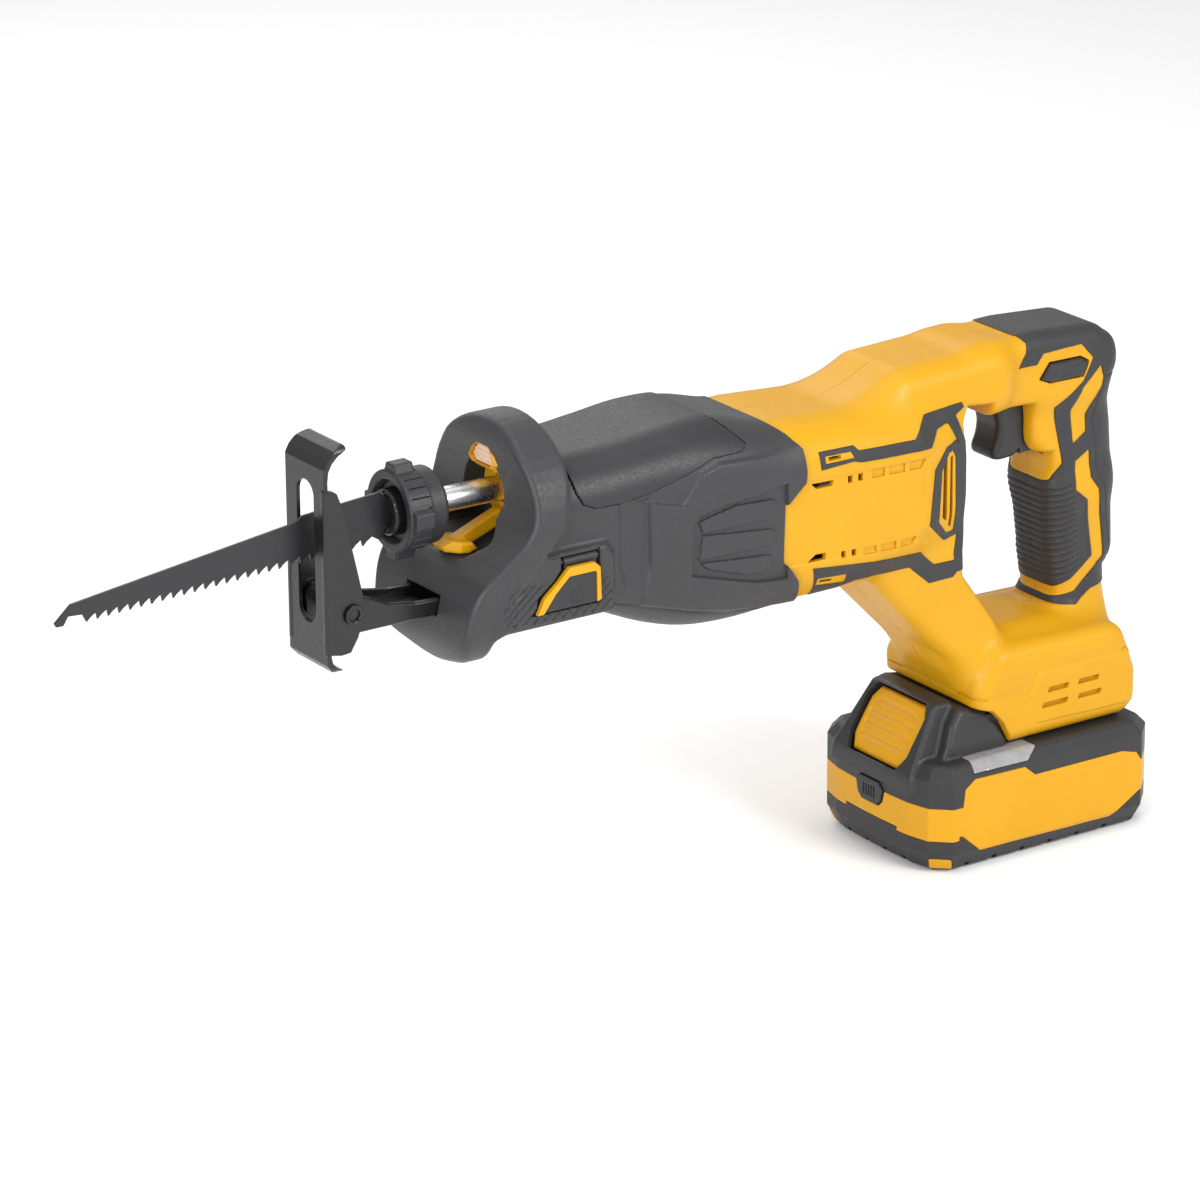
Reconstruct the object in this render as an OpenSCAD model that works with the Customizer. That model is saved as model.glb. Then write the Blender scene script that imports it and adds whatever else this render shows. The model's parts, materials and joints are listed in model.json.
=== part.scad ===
// Cordless reciprocating saw. Nose towards -X, +Z up, battery underside at z = 0.
// All sizes in millimetres.

/* [Display] */
// Sub-part to show

/* [Drive] */
// Height of the reciprocating rod's axis
rod_z = 200.5; // [199:0.5:202]
// Radius of the reciprocating rod
rod_r = 5.25; // [4.5:0.05:5.5]
// Height of the motor axis
motor_z = 170; // [170:1:170]
// Radial running clearance of shafts in their bearings
run_clear = 0.05; // [0.02:0.01:0.1]
// Teeth on the motor pinion
pinion_teeth = 7; // [7:1:7]
// Teeth on the drive gear
gear_teeth = 21; // [21:1:21]
// Distance from the wobble centre to the rod axis
arm_len = 44.5; // [44:0.5:45]

/* [Blade] */
// Blade thickness
blade_t = 1.3; // [0.9:0.1:1.6]
// Tooth pitch
tooth_pitch = 4.8; // [4:0.2:6]
// Tooth depth
tooth_depth = 2.6; // [1.5:0.1:3]

/* [Shoe] */
// Half width of the shoe plate
shoe_hw = 14.8; // [14:0.2:16]
// Half width of the blade slot
slot_hw = 6.1; // [5:0.1:7]
// Sheet thickness of the shoe
shoe_t = 2.5; // [2:0.1:3]

/* [Handle] */
// Half width of the grip
grip_hw = 17; // [16:0.5:18]
// Half width of the battery base
base_hw = 35; // [34:0.5:36]
// Wall thickness of the housing
wall = 3; // [2.4:0.1:3.2]

/* [Battery] */
// Half width of the battery pack
pack_hw = 43.5; // [43:0.5:44]
// Cell diameter
cell_d = 18.4; // [18:0.1:18.6]
// Cell length
cell_l = 65; // [64:0.5:66]

/* [Hidden] */
yellow = [0.96, 0.68, 0.10];
dark = [0.20, 0.20, 0.21];
black = [0.08, 0.08, 0.085];
steel = [0.62, 0.63, 0.65];
alu = [0.72, 0.73, 0.75];
wob_x = -194;
cs_z = motor_z - (pinion_teeth + gear_teeth) / 2;
mid_off = 3.5;
ball_x = wob_x + mid_off;
arm_a0 = asin(mid_off / arm_len);
wob_tilt = 16.1;
wob_phase = acos(tan(arm_a0) / tan(wob_tilt));
shoe_px = -331;
shoe_pz = 167;
$fn = 32;

// ---------- helpers ----------
// cylinder along X from x0 to x1
module cx(x0, x1, r, y = 0, z = 0, fn = 32)
  translate([x0, y, z]) rotate([0, 90, 0]) cylinder(h = x1 - x0, r = r, $fn = fn);
// cylinder along Y from y0 to y1
module cy(y0, y1, r, x = 0, z = 0, fn = 32)
  translate([x, y1, z]) rotate([90, 0, 0]) cylinder(h = y1 - y0, r = r, $fn = fn);
// box from its low and high corners
module bx(x0, x1, y0, y1, z0, z1)
  translate([x0, y0, z0]) cube([x1 - x0, y1 - y0, z1 - z0]);
// side profile (x, z) given a thickness along Y
module side(P, y0, y1)
  translate([0, y1, 0]) rotate([90, 0, 0]) linear_extrude(y1 - y0) polygon(P);
// rounded pod: hull of discs lying along Y
module pod(P, hw, r, c, t = 0, fn = 20)
  hull() for (p = P) translate([p[0], 0, p[1]]) rotate([90, 0, 0]) {
    cylinder(h = 2 * (hw - t - c), r = r - t, center = true, $fn = fn);
    cylinder(h = 2 * (hw - t), r = max(0.5, r - t - c), center = true, $fn = fn);
  }
// ring of a rounded rectangle in the YZ plane
function ring(s, t, n) = [for (c = [0:3]) for (i = [0:n])
  let (a = 90 * c + 90 * i / n, r = max(1, s[4] - t), hw = s[1] - t, zb = s[2] + t, zt = s[3] - t,
       sy = (c == 0 || c == 3) ? 1 : -1, sz = (c < 2) ? 1 : -1,
       cyy = sy * (hw - r), cz = sz > 0 ? zt - r : zb + r)
  [s[0], cyy + r * cos(a), cz + r * sin(a)]];
// solid through rounded rectangle stations [x, half width, z low, z high, corner r]
module loft(S, t = 0, n = 5) {
  k = 4 * (n + 1);
  m = len(S);
  pts = [for (s = S) each ring(s, t, n)];
  sides = [for (j = [0:m - 2]) for (i = [0:k - 1]) let (a = j * k + i, b = j * k + (i + 1) % k)
    each [[a, a + k, b + k], [a, b + k, b]]];
  polyhedron(points = pts, faces = concat(sides, [[for (i = [0:k - 1]) i]],
    [[for (i = [k - 1:-1:0]) (m - 1) * k + i]]), convexity = 4);
}
// simple gear along X
module gear(x0, x1, n, r_root, r_tip, w_root, w_tip, phase, y, z)
  translate([x0, y, z]) rotate([0, 90, 0]) linear_extrude(x1 - x0) union() {
    circle(r = r_root, $fn = 48);
    for (i = [0:n - 1]) rotate(phase + i * 360 / n)
      polygon([[r_root - 0.6, -w_root / 2], [r_tip, -w_tip / 2], [r_tip, w_tip / 2], [r_root - 0.6, w_root / 2]]);
  }
// keep one side of the middle plane: s = -1 left, s = 1 right
module half(s) intersection() {
  children();
  if (s < 0) bx(-500, 100, -80, -0.05, 0, 300);
  else bx(-500, 100, 0.05, 80, 0, 300);
}

// ---------- housing ----------
barrel = [[-139, 36.5, 134, 211.5, 20], [-128, 37, 133.7, 211.5, 20], [-90, 37, 133.7, 210, 22],
  [-66, 35.5, 134.5, 210, 24], [-48, 31, 138, 208, 22], [-36, 25, 146, 205, 20]];
barrel_in = [[-150, 33.5, 137, 208.5, 17], [-90, 34, 136.7, 207, 19], [-66, 32.5, 138, 206, 20],
  [-52, 27.5, 142, 204, 18], [-41, 20, 150, 200, 14]];
module housing_body() {
  loft(barrel);
  pod([[-86, 197], [-64, 208.5], [-18, 211], [-18, 204], [-44, 196], [-86, 185]], 25, 12.5, 7);
  pod([[-20, 211], [7, 211.5], [36, 208.5], [38.5, 206], [35, 200], [-20, 204]], 19.5, 12, 6);
  pod([[34, 208.5], [46.5, 208.8]], 17, 6, 4);
  pod([[18.2, 198], [18.2, 180], [36, 180], [37, 198]], grip_hw, 12, 5);
  pod([[34, 199], [34.5, 175], [32, 150], [38.5, 150], [36.4, 190]], grip_hw, 14.5, 6);
  pod([[32, 150], [38.5, 150], [40, 120], [35.5, 118], [37.5, 96]], grip_hw, 15, 6);
  pod([[-25.5, 73], [-20, 82], [38, 82], [43.6, 66], [43.6, 57.8], [-24, 57.8]], base_hw, 10.2, 7);
  pod([[-31, 88], [22, 85], [38.5, 83]], 22, 10, 6);
  pod([[-88, 150], [-46, 178], [-44, 125], [-26, 99], [-26, 84], [-58.5, 119]], 27, 10.5, 7);
}
module housing_cavity() {
  loft(barrel_in);
  pod([[-80, 192], [-64, 204], [-18, 207], [-18, 204.5], [-60, 192]], 25, 12.5, 7, wall);
  pod([[-20, 208], [7, 208.5], [32, 206], [20, 204.5], [-20, 204.5]], 19.5, 12, 6, wall);
  pod([[21, 196], [21, 183], [36, 183], [37, 196]], grip_hw, 12, 5, wall);
  pod([[34, 198], [35, 175], [35, 150], [37, 150], [35.6, 190]], grip_hw, 14.5, 6, wall);
  pod([[35.5, 150], [37, 150], [39, 120], [38, 118], [38.5, 92]], grip_hw, 15, 6, wall);
  pod([[-24, 76], [-20, 80], [36, 80], [39.6, 75.5], [39.6, 75]], base_hw, 10.2, 7, wall);
  pod([[-84, 148], [-52, 148], [-48, 125], [-30, 99], [-26, 88], [-55, 116]], 27, 10.5, 7, wall);
}
module housing(s) difference() {
  half(s) housing_body();
  difference() {
    housing_cavity();
    // wall above the front of the hand opening
    side([[-41.5, 180], [-41.5, 195.5], [-38.5, 204], [-17.5, 202.5], [-15.5, 190], [-15.5, 180]], -60, 60);
  }
  // battery slideway
  bx(-70, 52, -27.8, 27.8, 40, 53.6);
  bx(-70, 52, -30.4, 30.4, 53.5, 62.6);
  // lower edge of the base, raised at the front over the battery's shoulder
  side([[-60, 67.5], [-37, 67.5], [-26.3, 65.2], [-20.4, 58.9], [-14.5, 47], [-14.5, 30], [-60, 30]], -60, 60);
  // hand opening
  side([[-37, 193.5], [-34.5, 187], [-35.8, 126], [-15.5, 98.5], [20, 97.5], [23, 102], [20, 120], [16.5, 139], [16.2, 152], [18, 168], [7, 168], [6, 171], [6, 191.5], [-19, 191.5], [-21, 198.5], [-34, 200]], -60, 60);
  // trigger well
  bx(-8.8, 18.6, -9.8, 9.8, 165.6, 197.6);
  // lock-off button well
  bx(6.6, 33.4, -60, 60, 200.6, 210.2);
  // motor rear bearing seat and shaft
  cx(-60, -50, 8, 0, motor_z);
  // vents in the battery base
  for (q = [[26, 74], [40, 74], [26, 66], [40, 66]])
    bx(q[0] - 5, q[0] + 5, -60, 60, q[1], q[1] + 2.6);
  // vents in the motor barrel
  for (q = [[-124, 180], [-116, 180], [-124, 158], [-116, 158]])
    bx(q[0], q[0] + 6, -60, 60, q[1], q[1] + 2.4);
  // rear air outlet
  bx(-62, -56, -60, 60, 158, 184);
  // screw holes from the right side
  for (q = screw_at) cy(-1, 60, 1.7, q[0], q[1], 16);
  for (q = screw_at) cy(q[2] - 4, 60, 3.4, q[0], q[1], 20);
}
screw_at = [[-132, 140, 26], [-75, 213, 19], [-4, 217, 17], [43, 197, 15], [45, 110, 15], [44, 84, 17], [-30, 88, 20], [-36, 152, 21]];
module left_housing() color(yellow) housing(-1);
module right_housing() color(yellow) housing(1);
module housing_screws() color(steel) for (q = screw_at) difference() {
  union() {
    cy(0.4, q[2] - 4.2, 1.5, q[0], q[1], 16);
    cy(q[2] - 4, q[2] - 1.5, 3.1, q[0], q[1], 20);
    cy(q[2] - 4.3, q[2] - 3.9, 1.5, q[0], q[1], 16);
  }
  cy(q[2] - 2.7, q[2], 1.2, q[0], q[1], 6);
}
// soft grip skins lie on the sides of the grip
module grip_skin(s) color(dark) difference() {
  side([[27, 164], [31, 160], [46, 163], [50, 158], [51.5, 120], [47, 108], [30, 107], [25, 116], [23, 140]], s < 0 ? -grip_hw - 1.2 : grip_hw + 0.03, s < 0 ? -grip_hw - 0.03 : grip_hw + 1.2);
  for (i = [0:6]) translate([0, 0, 114 + 6.5 * i]) rotate([0, -14, 0])
    bx(10, 42, s < 0 ? -grip_hw - 2 : grip_hw + 0.7, s < 0 ? -grip_hw - 0.7 : grip_hw + 2, 0, 1.2);
}
module grip_skins() { grip_skin(-1); grip_skin(1); }
module side_trim(s) color(dark) {
  y0 = s < 0 ? -38.2 : 37.03;
  side([[-131, 190], [-131, 184], [-84, 184], [-80, 178], [-76, 178], [-76, 186], [-84, 190]], y0, y0 + 1.17);
  side([[-131, 150], [-131, 156], [-84, 156], [-80, 162], [-76, 162], [-76, 154], [-84, 150]], y0, y0 + 1.17);
}
module side_trims() { side_trim(-1); side_trim(1); }

// ---------- front boot and guard ----------
boot = [[-250, 33, 150, 217, 18], [-238, 33, 149.4, 217, 18], [-219, 34, 144.4, 218, 18], [-199, 35, 138.3, 219, 18],
  [-180, 36.5, 133.3, 220, 20], [-160, 37.5, 131.6, 218.5, 22], [-139.3, 37.8, 132.6, 213, 21]];
guard_side = [[-247, 236], [-255.5, 234], [-260.4, 224], [-259.6, 212], [-260, 199], [-265, 190], [-276.5, 180], [-284.5, 173.5], [-288.5, 166],
  [-291, 156], [-291.6, 148], [-290, 141.5], [-285.5, 135], [-280, 132.5], [-276, 138.5], [-276.5, 148], [-273, 160], [-265.5, 171],
  [-255, 182], [-247, 192], [-243.4, 203], [-241, 212], [-241, 226], [-242.5, 235]];
module guard_outline(d = 0) hull() {
  translate([0, 191.5]) circle(r = 40.3 - d, $fn = 56);
  for (s = [-1, 1]) translate([s * 15.5, 158.5]) circle(r = 20.5 - d, $fn = 36);
  translate([0, 155.5]) circle(r = 22 - d, $fn = 36);
}
module in_x(x0, x1) translate([x0, 0, 0]) rotate([90, 0, 90]) linear_extrude(x1 - x0) children();
module front_boot() color(dark) difference() {
  union() {
    loft(boot);
    intersection() {
      side(guard_side, -50, 50);
      in_x(-300, -240) guard_outline();
    }
    // neck between guard and barrel
    side([[-245, 150.4], [-245, 196], [-250, 192], [-262, 178], [-272, 166], [-279, 153], [-279, 151]], -33, 33);
    // ribbed pads at the sides of the neck
    side([[-276, 157], [-268, 180.6], [-225, 180.6], [-225, 157]], -36.8, 36.8);
  }
  difference() {
    loft([[-247, 30, 153, 214, 15], [-238, 30, 152.4, 214.2, 15], [-219, 31, 147.4, 215.2, 15], [-199, 32, 141.1, 216.2, 15],
      [-180, 33.5, 136.2, 217.2, 17], [-160, 34.5, 134.4, 215.7, 19], [-139, 34.8, 135.4, 210.2, 18], [-130, 34.8, 135.4, 210.2, 18]]);
    // post guide walls
    difference() { bx(-250, -236, -16, 16, 150, 181); bx(-260, -230, -12.4, 12.4, 156.9, 165.4); }
  }
  // opening below the rod and pocket for the lamp
  translate([0, 0, rod_z]) in_x(-300, -252) circle(r = 14.6, $fn = 40);
  in_x(-300, -252) polygon([[-9.5, 195], [-17, 186], [-10, 180.5], [10, 180.5], [17, 186], [9.5, 195]]);
  translate([0, 0, 215.5]) in_x(-300, -252) circle(r = 9.2, $fn = 6);
  translate([0, 0, rod_z]) in_x(-300, -240) circle(r = 13.2, $fn = 32);
  // passage for the shoe post
  bx(-310, -230, -12.4, 12.4, 156.9, 165.4);
  // lever recess
  bx(-261.5, -228.5, -60, -33.5, 158, 179.8);
  bx(-261.5, -228.5, -60, -35.6, 170, 181.4);
  bx(-261.5, -228.5, -36, -32.3, 174, 179.8);
  // hole for the lever pin
  cx(-264, -226, 0.94, -34.8, 177.4, 16);
}
module boot_cover() color(dark) difference() {
  // cap plate lying on the boot's top
  intersection() {
    loft([[-243, 34.5, 150, 218.6, 19], [-219, 35.4, 144.4, 219.6, 19], [-199, 36.4, 138.3, 220.6, 19],
      [-180, 37.6, 133.3, 221.6, 21], [-164, 38.4, 131.6, 220.4, 22.5]]);
    bx(-243, -166, -60, 60, 199, 230);
  }
  loft([[-252, 33.03, 150, 217.03, 18], [-238, 33.03, 149.4, 217.03, 18], [-219, 34.03, 144.4, 218.03, 18], [-199, 35.03, 138.3, 219.03, 18],
    [-180, 36.53, 133.3, 220.03, 20], [-160, 37.53, 131.6, 218.53, 22], [-139.3, 37.83, 132.6, 213.03, 21]]);
  // clear of the guard
  intersection() { side([for (p = guard_side) [p[0] > -256 ? p[0] + 0.4 : p[0], p[1]]], -50, 50); in_x(-300, -230) guard_outline(-0.4); }
}
module light_bezel() color(yellow) difference() {
  translate([0, 0, 215.5]) in_x(-263, -252.2) circle(r = 8.8, $fn = 6);
  translate([0, 0, 215.5]) in_x(-264, -256) circle(r = 5.6, $fn = 24);
  translate([0, 0, rod_z]) in_x(-270, -250) circle(r = 13.6, $fn = 32);
}
module light_lens() color([0.9, 0.92, 0.95, 0.6]) translate([0, 0, 216.4]) in_x(-260.5, -257.2) circle(r = 4.2, $fn = 24);
module light_board() color([0.1, 0.4, 0.2]) translate([0, 0, 216.4]) in_x(-257, -256.2) circle(r = 4, $fn = 24);
module nose_trim() color(yellow) difference() {
  in_x(-258, -252.2) polygon([[-9, 187.5], [-15.4, 186], [-9.6, 181], [9.6, 181], [15.4, 186], [9, 187.5]]);
  translate([0, 0, rod_z]) in_x(-270, -250) circle(r = 14.6, $fn = 32);
}

// ---------- gear case ----------
module case_half(s) color(alu) half(s) difference() {
  union() {
    bx(-180, -146, -16, 16, 141.6, 160);
    bx(-203, -179.9, -16, 16, 142.7, 160);
    bx(-206, -160, -24, 24, 148, 212.6);
    bx(-160.1, -146, -22, 22, 148, 207);
    bx(-215, -205.9, -16, 16, 147.6, 160);
    bx(-215, -205.9, -24, 24, 154, 212.6);
    bx(-232, -214.9, -18, 18, 184, 212.6);
    cx(-249, -231.9, 11.6, 0, rod_z);
  }
  // hollow for the moving parts
  bx(-202, -174.9, -12.6, 12.6, 144.1, 166);
  bx(-202, -174.9, -21, 21, 160, 210.4);
  bx(-208, -201.9, -21, 21, 166, 210.4);
  bx(-216, -201.9, -12, 12, 188, 210.4);
  bx(-175, -172.9, -12, 12, 188, 210.4);
  bx(-175, -157.6, -12.6, 12.6, 144, 160);
  bx(-175, -157.6, -21, 21, 155, 182);
  bx(-158, -150, -12, 12, 163, 178);
  // bores
  cx(-250, -215, 7, 0, rod_z);
  cx(-173, -140, 7, 0, rod_z);
  cx(-214.2, -200, 6.6, 0, cs_z);
  // bores for the side pins of the wobble arm
  cy(-16.8, 16.8, 2.5 + run_clear, wob_x, cs_z, 32);
  cx(-158, -149, 6.6, 0, cs_z);
  cx(-152, -140, 11, 0, motor_z);
  for (q = case_screw_at) cy(-1, 30, 1.7, q[0], q[1], 16);
}
case_screw_at = [[-211.5, 178, 24], [-154, 187, 24], [-226, 189, 18]];
module gear_case_left() case_half(-1);
module gear_case_right() case_half(1);
module gear_case_screws() color(steel) for (q = case_screw_at) difference() {
  union() {
    cy(0.5, q[2] + 0.1, 1.5, q[0], q[1], 16);
    cy(q[2] + 0.03, q[2] + 2.6, 3, q[0], q[1], 20);
  }
  cy(q[2] + 1.4, q[2] + 4, 1.2, q[0], q[1], 6);
}
module front_bushing() color([0.72, 0.55, 0.25]) difference() { cx(-246, -226, 6.97, 0, rod_z); cx(-247, -225, rod_r + run_clear, 0, rod_z); }
module rear_bushing() color([0.72, 0.55, 0.25]) difference() { cx(-172, -165, 6.97, 0, rod_z); cx(-173, -164, rod_r + run_clear, 0, rod_z); }
module rod_seal() color(black) difference() { cx(-249, -246.1, 6.97, 0, rod_z); cx(-250, -245, rod_r + 0.09, 0, rod_z); }
module shaft_bearings() color(steel) {
  difference() { cx(-213.5, -208.5, 6.57, 0, cs_z); cx(-214, -208, 3.5 + run_clear, 0, cs_z); }
  difference() { cx(-156.5, -151.5, 6.57, 0, cs_z); cx(-157, -151, 3.5 + run_clear, 0, cs_z); }
}

// ---------- counter shaft ----------
module counter_shaft() color(steel) cx(-213, -151.8, 3.5, 0, cs_z);
module drive_gear() color([0.5, 0.5, 0.52]) difference() {
  gear(-172, -163, gear_teeth, 9.2, 11.4, 1.35, 0.7, 0, 0, cs_z);
  cx(-173, -162, 3.5, 0, cs_z);
}
module wobble_sleeve() color(steel) difference() {
  intersection() {
    translate([wob_x, 0, cs_z]) sphere(r = 8, $fn = 48);
    translate([wob_x, 0, cs_z]) rotate([wob_phase, 0, 0]) rotate([0, 90 + wob_tilt, 0]) cylinder(h = 10.4, r = 12, center = true);
  }
  cx(-210, -180, 3.5, 0, cs_z);
}
module wobble_arm() color([0.45, 0.45, 0.47]) translate([wob_x, 0, cs_z]) rotate([0, arm_a0, 0]) {
  difference() {
    union() {
      rotate([0, 90, 0]) cylinder(h = 8, r = 10.9, center = true, $fn = 48);
      translate([0, 0, 9.4]) cylinder(h = arm_len - 9.4, r = 3, $fn = 24);
      cy(-16.4, 16.4, 2.5);
    }
    sphere(r = 8.2, $fn = 48);
  }
  translate([0, 0, arm_len]) sphere(r = 4.8, $fn = 32);
}

// ---------- motor ----------
module stator_core() color([0.35, 0.35, 0.37]) difference() { cx(-118, -90, 26, 0, motor_z); cx(-119, -89, 14.6, 0, motor_z); }
module windings() color([0.75, 0.4, 0.16]) {
  difference() { cx(-125, -118.05, 24, 0, motor_z); cx(-126, -117, 15.6, 0, motor_z); }
  difference() { cx(-89.95, -83, 24, 0, motor_z); cx(-91, -82, 15.6, 0, motor_z); }
}
module sensor_board() color([0.1, 0.4, 0.2]) difference() { cx(-127.4, -126, 23, 0, motor_z); cx(-128, -125, 9, 0, motor_z); }
module motor_bracket() color([0.25, 0.25, 0.27]) difference() { cx(-137, -129, 27, 0, motor_z); cx(-138, -128, 9.2, 0, motor_z); }
module motor_bearings() color(steel) {
  difference() { cx(-136, -130, 9.15, 0, motor_z); cx(-137, -129, 4 + run_clear, 0, motor_z); }
  difference() { cx(-59, -53, 7.97, 0, motor_z); cx(-60, -52, 3 + run_clear, 0, motor_z); }
}
module rotor_core() color([0.3, 0.3, 0.33]) difference() { cx(-118, -90, 14, 0, motor_z); cx(-119, -89, 4, 0, motor_z); }
module motor_shaft() color(steel) {
  cx(-162.8, -77, 4 - 1.9, 0, motor_z);
  cx(-138, -77.1, 4, 0, motor_z);
  cx(-77.11, -53, 3, 0, motor_z);
  gear(-173, -162.7, pinion_teeth, 2.1, 4.3, 1.35, 0.7, 0, 0, motor_z);
}
module fan() color(dark) difference() {
  union() {
    cx(-79, -77.2, 24, 0, motor_z);
    cx(-79, -70, 6, 0, motor_z);
    for (i = [0:10]) translate([-77.3, 0, motor_z]) rotate([i * 360 / 11, 0, 0]) translate([0, 5, -0.6]) cube([6.3, 18.5, 1.2]);
  }
  cx(-80, -77.08, 4, 0, motor_z);
  cx(-77.2, -69, 3, 0, motor_z);
}

// ---------- rod, clamp and blade ----------
module plunger_rod() color(steel) difference() {
  union() {
    cx(-297, -150, rod_r, 0, rod_z);
    bx(ball_x - 7.5, ball_x + 7.5, -8.5, 8.5, rod_z - 8, rod_z + 8);
  }
  bx(ball_x - 5.6, ball_x + 5.6, -5.5, 5.5, rod_z - 9, rod_z + 6.6);
}
module clamp_body() color(black) difference() {
  union() {
    cx(-306.5, -283, 9.5, 0, rod_z);
    cx(-286.5, -283, 12.6, 0, rod_z);
  }
  cx(-297, -282, rod_r, 0, rod_z);
  bx(-307, -297.5, -blade_t / 2 - 0.06, blade_t / 2 + 0.06, rod_z - 8, rod_z + 8);
}
module clamp_collar() color(dark) difference() {
  union() {
    cx(-305, -294, 17.2, 0, rod_z, 48);
    cx(-294.1, -286.9, 16, 0, rod_z, 48);
    for (i = [0:3]) translate([-304, 0, rod_z]) rotate([i * 90, 0, 0]) translate([0, 15.5, -4]) cube([9.5, 4.7, 8]);
  }
  cx(-306, -286, 9.8, 0, rod_z, 48);
  cx(-299, -286, 13, 0, rod_z, 48);
}
module collar_spring() color(steel) difference() { cx(-298, -287, 11.9, 0, rod_z); cx(-299, -286, 10.6, 0, rod_z); }
module blade() color([0.16, 0.16, 0.17]) {
  nt = 27;
  x0 = -309;
  z0 = 189.4;
  top = [[-456, 185], [-448.7, 191.5], [-348, 204.6], [-344.5, 206.8], [-309, 209.6], [-307, 207.6], [-300, 206], [-298, 206], [-298, 195], [-306, 195], [x0, z0]];
  teeth = [for (i = [0:nt - 1]) let (xa = x0 - 4 - i * tooth_pitch, za = z0 - 0.045 * (i + 1) * tooth_pitch)
    each [[xa, za + tooth_depth], [xa - tooth_pitch + 0.6, za - 0.6]]];
  side(concat(top, teeth, [[-443.6, 186.2], [-450, 186.8], [-452.2, 183.4], [-455.3, 183.5]]), -blade_t / 2, blade_t / 2);
}

// ---------- shoe ----------
module shoe_post() color(black) difference() {
  union() {
    side([[-338, 163], [-338, 171], [-335, 173.8], [-328, 173.6], [-320, 170.8], [-312, 167], [-300, 164.6], [-291, 164.2], [-226, 164.2], [-226, 157.4], [-327, 157.4], [-335, 160.2]], -11.8, 11.8);
    cy(-11.8, 11.8, 7, shoe_px, shoe_pz);
  }
  bx(-345, -232, -9, 9, 160, 180);
  side([[-345, 150], [-345, 161], [-326, 161], [-318, 156]], -9, 9);
  cy(-14, 14, 3.12, shoe_px, shoe_pz);
}
module shoe_pin() color(steel) {
  cy(-15.2, 15.2, 3.12, shoe_px, shoe_pz);
  cy(-16.4, -15.1, 4.2, shoe_px, shoe_pz);
  cy(15.1, 16.4, 4.2, shoe_px, shoe_pz);
}
module shoe() color(black) difference() {
  union() {
    bx(-343, -343 + shoe_t, -shoe_hw, shoe_hw, 150, 226);
    side([[-343, 225.9], [-342.2, 229], [-338.6, 234.2], [-332.3, 237.6], [-331.2, 235.4], [-336.8, 232], [-340, 228], [-340.5, 225.9]], -shoe_hw, shoe_hw);
    side([[-343, 150.1], [-342, 147.4], [-338.6, 144.6], [-335.4, 143.2], [-334.4, 145.4], [-337.6, 147], [-339.8, 149], [-340.5, 150.1]], -shoe_hw, shoe_hw);
    side([[-342, 151.5], [-334, 151], [-329.5, 155], [-326, 160], [-324.8, 168], [-325.5, 175], [-329, 190], [-332.5, 205], [-334.8, 214], [-337, 219], [-342, 220.5]], -shoe_hw, -shoe_hw + shoe_t);
    side([[-342, 151.5], [-334, 151], [-329.5, 155], [-326, 160], [-324.8, 168], [-325.5, 175], [-328.6, 184], [-334, 189], [-342, 190]], shoe_hw - shoe_t, shoe_hw);
  }
  bx(-350, -339, -slot_hw, slot_hw, 169, 215);
  cx(-350, -339, slot_hw, 0, 169);
  cx(-350, -339, slot_hw, 0, 215);
  cy(-20, 20, 3.18, shoe_px, shoe_pz);
}
module lock_lever() color(dark) difference() {
  union() {
    bx(-260.5, -229.5, -37.4, -34.4, 158.8, 177);
    cx(-260.5, -229.5, 1.9, -34.8, 177.4);
  }
  cx(-262, -228, 0.95, -34.8, 177.4, 16);
}
module lever_rim() color(yellow) difference() {
  side([[-259.6, 160], [-233, 163.2], [-232, 174.6], [-247, 176.4]], -38.2, -37.43);
  side([[-256.6, 162], [-235, 164.6], [-234, 173], [-246.8, 174.6]], -39, -37);
}
module lever_pin() color(steel) cx(-263.5, -226.5, 0.9, -34.8, 177.4, 16);

// ---------- controls ----------
module trigger() color(dark) difference() {
  side([[-6.2, 192], [-6.6, 187], [-5.4, 181], [-6.4, 175], [-8, 170.4], [-7.2, 167.2], [-4, 166.2], [3.6, 166.8], [6, 168.4], [13, 168.6], [13, 196], [-6, 196]], -9.2, 9.2);
  bx(2, 12, -5, 5, 171, 194);
  cx(2, 20, 3, 0, 184, 20);
}
module trigger_spring() color(steel) difference() { cx(2.3, 18.9, 2.4, 0, 184, 20); cx(1, 20, 1.6, 0, 184, 20); }
module switch_body() color(black) bx(19.2, 38, -9, 9, 176, 193);
module lock_off_button() color(dark) {
  side([[7.2, 203.2], [12.4, 209.6], [28.5, 209.6], [32.8, 207.2], [29.8, 201.2], [12.6, 201.2]], -21.5, 21.5);
}
module controller_board() color([0.1, 0.4, 0.2]) bx(-14, 34, -20, 20, 70, 71.6);
module heat_sink() color(alu) for (i = [0:5]) bx(-10 + i * 7, -7 + i * 7, -16, 16, 71.63, 78);
module terminal_block() color(black) bx(46.2, 51.9, -22, 22, 53.9, 62.2);
module terminal_blades() color([0.8, 0.6, 0.3]) for (y = [-16, -6, 6, 16]) bx(24, 46.15, y - 0.4, y + 0.4, 55, 60.5);

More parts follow.
